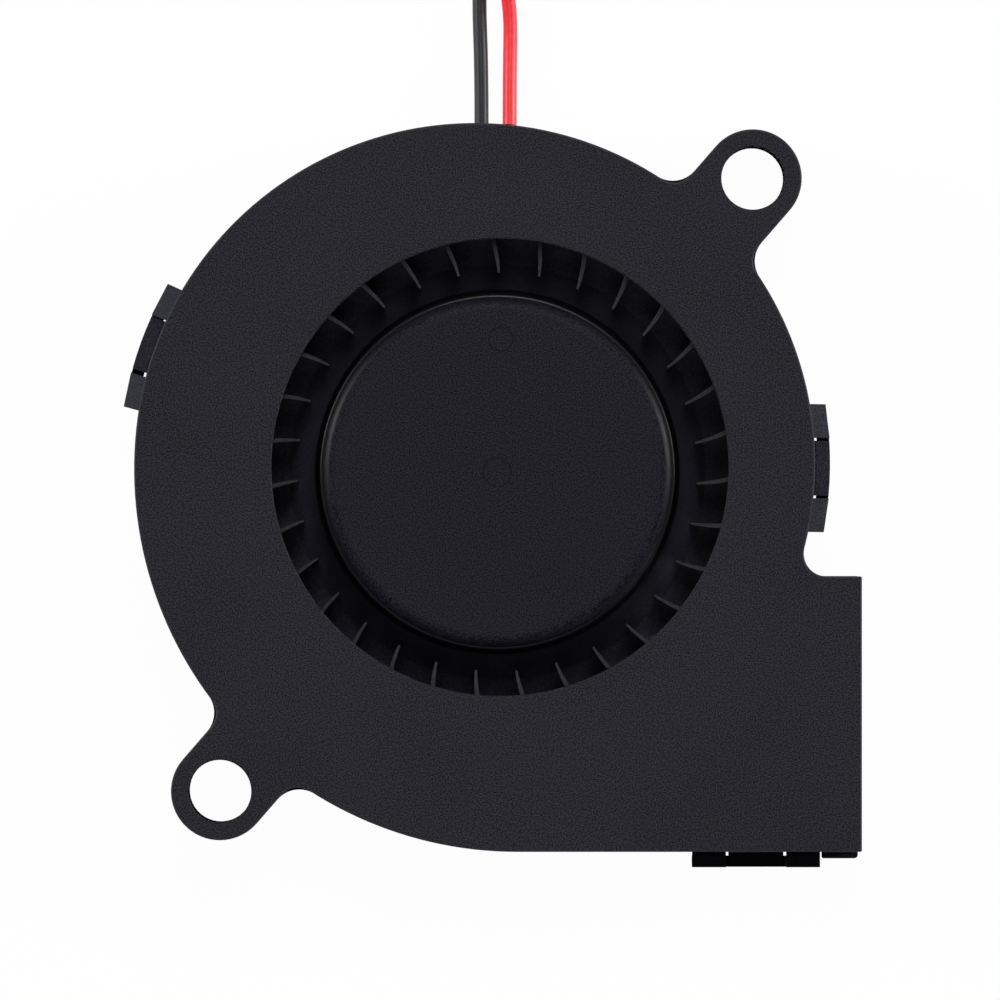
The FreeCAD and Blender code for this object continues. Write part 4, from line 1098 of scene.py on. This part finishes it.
@dataclass
class Lead:
    """One insulated wire from the wall, through its coil, to the plug."""

    name: str
    finish: Finish
    slot: Slot
    exit: Spot
    front: list[Spot]
    back: list[Spot]
    coil_low: float
    coil_high: float
    nodes: tuple[str, ...]
    centre: Point = (-8.3, 45.0)
    radii: tuple[float, ...] = (7.2, 6.15, 5.1, 4.05, 4.05, 5.1, 6.15, 7.2)
    points_per_turn: int = 16
    passing: int = 6
    radius: float = 0.5
    facets: int = 3
    steps: int = 4
    order: int = 3
    in_plug: float = 8.0

    def coil(self) -> list[Spot]:
        """The control points of the put-away turns, in along the floor and out on top.

        Returns:
            The points; a turn passes to the next one's radius in its last sixth.
        """
        swell = 1 / math.cos(math.pi / self.points_per_turn)
        points = []
        last, half = len(self.radii) - 1, len(self.radii) // 2
        for number in range(len(self.radii) * self.points_per_turn + 1):
            turn, place = divmod(number, self.points_per_turn)
            share = max(0.0, place / self.points_per_turn * self.passing - (self.passing - 1))
            here, after = self.radii[min(turn, last)], self.radii[min(turn + 1, last)]
            rise = 1.0 if turn >= half else share if turn == half - 1 else 0.0
            x, y = polar(self.centre, (here + (after - here) * share) * swell,
                         360 * place / self.points_per_turn)
            points.append((x, y, self.coil_low + (self.coil_high - self.coil_low) * rise))
        return points

    def build(self, with_pieces: list[bpy.types.Object]) -> None:
        """Args:
            with_pieces: Not used.
        """
        points = [self.exit, *self.front, *self.coil(), *self.back]
        curve = bpy.data.curves.new(self.name, "CURVE")
        curve.dimensions = "3D"
        curve.bevel_depth = self.radius * MM
        curve.bevel_resolution = self.facets
        curve.resolution_u = self.steps
        curve.use_fill_caps = True
        spline = curve.splines.new("NURBS")
        spline.points.add(len(points) - 1)
        for spot, point in zip(spline.points, points):
            spot.co = (point[0] * MM, point[1] * MM, point[2] * MM, 1)
        spline.order_u = self.order
        spline.use_endpoint_u = True
        curve.materials.append(self.finish.material())
        wire = settle(new_object(self.name, curve), Body.HOUSING, self.slot, *self.nodes)

    def length(self) -> float:
        """The wire's real length in metres, by its coil's turns and its free runs."""
        turns = sum(math.tau * radius for radius in self.radii)
        runs = 0.0
        for path in ([self.exit, *self.front], self.back):
            runs += sum((Vector(b) - Vector(a)).length for a, b in zip(path, path[1:]))
        return (turns + runs + self.in_plug) * MM


@dataclass
class Plug:
    """The two-way connector at the leads' end, with its ribs and its two cavities."""

    rib_height: float = 0.5
    rib_aside: float = 2.3
    rib_half: float = 0.4
    rib_round: float = 0.15
    rib_start: float = 2.45
    rib_end: float = 0.1
    rib_root: float = 0.2
    edge: float = 0.25
    pitch: float = 2.54
    cavity_half: float = 0.85

    def build(self) -> bpy.types.Object:
        """Make the shell with its cavities open to the front.

        Returns:
            The shell.
        """
        shell = Moulding(PLUG_WHITE)
        low, high = node_box("connector_housing")
        top = high.z - self.rib_height
        middle, half = (low.x + high.x) / 2, self.cavity_half
        cavities = [rectangle(x - half, x + half, top / 2 - half, top / 2 + half)
                    for x in (middle - self.pitch / 2, middle + self.pitch / 2)]
        section = rounded_rectangle(low.x, high.x, 0.0, top, self.edge)
        shell.plate([section, *cavities], -high.y, -low.y, SMALL_BEVEL, SMALL_BEVEL, BEVEL_STEPS,
                    lay_along_y)
        for x in (middle - self.rib_aside, middle + self.rib_aside):
            rib = rounded_rectangle(x - self.rib_half, x + self.rib_half, low.y + self.rib_start,
                                    high.y - self.rib_end, self.rib_round)
            shell.plate([rib], top - self.rib_root, high.z, SMALL_BEVEL, steps=BEVEL_STEPS)
        return settle(shell.piece("plug_shell"), Body.HOUSING, Slot.PLUG, "connector_housing")


@dataclass
class Tie:
    """The strap that holds the put-away turns together."""

    skin: float = 0.26
    outer_round: float = 0.9
    inner_round: float = 0.65
    edge: float = 0.08
    knot_start: float = 1.2
    knot_end: float = 3.2
    knot_round: float = 0.25
    knot_inset: float = 0.2
    knot_height: float = 0.2

    def build(self) -> bpy.types.Object:
        """Make the strap as a rounded ring around the turns, with a flat knot.

        Returns:
            The strap.
        """
        low, high = node_box("lead_tie")
        skin, inset = self.skin, self.knot_inset
        outer = rounded_rectangle(low.x, high.x, low.z, high.z, self.outer_round)
        inner = rounded_rectangle(low.x + skin, high.x - skin, low.z + skin, high.z - skin,
                                  self.inner_round)
        strap = Moulding(TIE_BLACK).plate([outer, inner], -high.y, -low.y, self.edge, self.edge,
                                          BEVEL_STEPS, lay_along_y)
        knot = rounded_rectangle(low.x + self.knot_start, low.x + self.knot_end, low.y + inset,
                                 high.y - inset, self.knot_round)
        strap.plate([knot], high.z - self.knot_height, high.z, SMALL_BEVEL, steps=BEVEL_STEPS)
        return settle(strap.piece("lead_strap"), Body.HOUSING, Slot.TIE, "lead_tie")


def build_leads() -> None:
    """Make the plug, the strap and both leads."""
    with_pieces = [Plug().build(), Tie().build(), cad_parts["crimp_contacts"]]
    for lead in (
            Lead("black_wire", LEAD_BLACK, Slot.BLACK, (-1.12, 24.475, 0.85),
                 [(-1.12, 28.475, 0.72), (-1.32, 33.475, 0.55), (-1.05, 37.8, 0.65),
                  (-1.10, 41.0, 0.87)],
                 [(-1.10, 49.0, 1.87), (-1.05, 51.8, 2.17), (-1.31, 54.4, 2.845),
                  (-1.27, 57.6, 2.875)],
                 0.87, 1.87, ("black_lead", "black_lead_coil", "black_lead_end")),
            Lead("red_wire", LEAD_RED, Slot.RED, (0.86, 24.475, 0.85),
                 [(0.86, 28.475, 0.72), (0.96, 32.475, 0.90), (0.16, 36.7, 1.95),
                  (-0.80, 41.0, 2.97)],
                 [(-0.80, 49.0, 3.97), (-0.50, 51.6, 3.87), (1.22, 54.2, 2.905),
                  (1.27, 57.6, 2.875)],
                 2.97, 3.97, ("red_lead", "red_lead_coil", "red_lead_end"))):
        lead.build(with_pieces)


# Studio


@dataclass(frozen=True)
class Softbox:
    """A soft square lamp that points at the fan."""

    name: str
    azimuth: float
    elevation: float
    power: float
    size: float = 0.22
    distance: float = 0.8

    def place(self, target: Vector) -> None:
        """Hang the lamp."""
        lamp = bpy.data.lights.new(self.name, "AREA")
        lamp.shape = "RECTANGLE"
        lamp.size = lamp.size_y = self.size
        lamp.energy = self.power
        turn, rise = math.radians(self.azimuth), math.radians(self.elevation)
        away = Vector((math.cos(turn) * math.cos(rise), math.sin(turn) * math.cos(rise),
                       math.sin(rise)))
        item = new_object(self.name, lamp)
        item.location = target + away * self.distance
        item.rotation_euler = away.to_track_quat("Z", "Y").to_euler()


@dataclass
class Studio:
    """Floor, lamps, backdrop and the camera that looks straight down."""

    frame_width: float = 70.05
    sensor: float = 36.0
    camera_distance: float = 3200.0
    clip: tuple[float, float] = (0.01, 20)
    centre: Point = (0.18, -1.96)
    plane: float = 15.0
    lamp_target: float = 10.0
    floor_half: float = 3.0
    floor_drop: float = 0.02
    floor_tone: float = 0.86
    floor_glow: float = 0.975
    backdrop_fill: float = 0.06
    lamps: tuple[Softbox, ...] = (
        Softbox("right_low", 12.0, 12.0, 4.4),
        Softbox("right_high", 12.0, 36.0, 1.4),
        Softbox("left_low", 163.0, 12.0, 2.5),
        Softbox("left_high", 163.0, 34.0, 2.3),
        Softbox("wash_above", 84.0, 58.0, 1.4, 0.26),
        Softbox("steep_above", 86.0, 76.0, 0.9, 0.18),
        Softbox("steep_below", 264.0, 79.0, 0.5),
        Softbox("front_fill", 300.0, 6.0, 1.0),
    )

    def floor(self) -> None:
        """Lay a pale floor that looks white to the camera and keeps a soft shadow."""
        half = self.floor_half
        mesh = bpy.data.meshes.new("studio_floor")
        corners = [(x, y, -self.floor_drop * MM) for x, y in rectangle(-half, half, -half, half)]
        mesh.from_pydata(corners, [], [(0, 1, 2, 3)])
        made = bpy.data.materials.new("studio_white")
        made.use_nodes = True
        made.node_tree.nodes.clear()
        nodes = Nodes(made.node_tree)
        path = nodes.add("ShaderNodeLightPath").outputs
        seen = nodes.work_out("MAXIMUM", path["Is Camera Ray"], path["Is Glossy Ray"])
        share = nodes.work_out("MULTIPLY", seen, self.floor_glow)
        matt = nodes.add("ShaderNodeBsdfDiffuse", color=(*[self.floor_tone] * 3, 1))
        glow = nodes.add("ShaderNodeEmission")
        mix = nodes.add("ShaderNodeMixShader", share, matt.outputs[0], glow.outputs[0])
        nodes.add("ShaderNodeOutputMaterial", surface=mix.outputs[0])
        mesh.materials.append(made)
        new_object("studio_floor", mesh)

    def world(self) -> None:
        """A white backdrop to the camera, and hardly any light from it."""
        world = bpy.context.scene.world or bpy.data.worlds.new("studio")
        bpy.context.scene.world = world
        world.use_nodes = True
        world.node_tree.nodes.clear()
        nodes = Nodes(world.node_tree)
        path = nodes.add("ShaderNodeLightPath").outputs
        seen = nodes.work_out("MAXIMUM", path["Is Camera Ray"], path["Is Transmission Ray"])
        strength = nodes.add("ShaderNodeMapRange", seen, to_min=self.backdrop_fill, to_max=1.0)
        back = nodes.add("ShaderNodeBackground", color=(1, 1, 1, 1), strength=strength.outputs[0])
        nodes.add("ShaderNodeOutputWorld", surface=back.outputs[0])

    def camera(self) -> None:
        """Look straight down with a long lens."""
        data = bpy.data.cameras.new("product_camera")
        data.sensor_width = self.sensor
        data.lens = self.sensor * self.camera_distance / self.frame_width
        data.clip_start, data.clip_end = self.clip
        item = new_object("product_camera", data)
        height = self.plane + self.camera_distance
        item.location = (self.centre[0] * MM, self.centre[1] * MM, height * MM)
        bpy.context.scene.camera = item

    def build(self) -> None:
        """Set up everything around the fan."""
        self.floor()
        self.world()
        for lamp in self.lamps:
            lamp.place(Vector((0, 0, self.lamp_target * MM)))
        self.camera()
        bpy.context.scene.view_settings.view_transform = "Standard"
        log.info("studio ready with %d lamps", len(self.lamps))


def main() -> None:
    """Build every piece in order."""
    logging.basicConfig(level=logging.INFO, format="%(name)s: %(message)s")
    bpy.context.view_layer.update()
    Studio().build()
    build_leads()
    dress_nodes()
    cover = IntakeCover(ScrollOutline())
    cover.build()
    cover.shade_mouth_catch()
    Impeller().build()
    Winding().build()


if __name__ == "__main__":
    main()
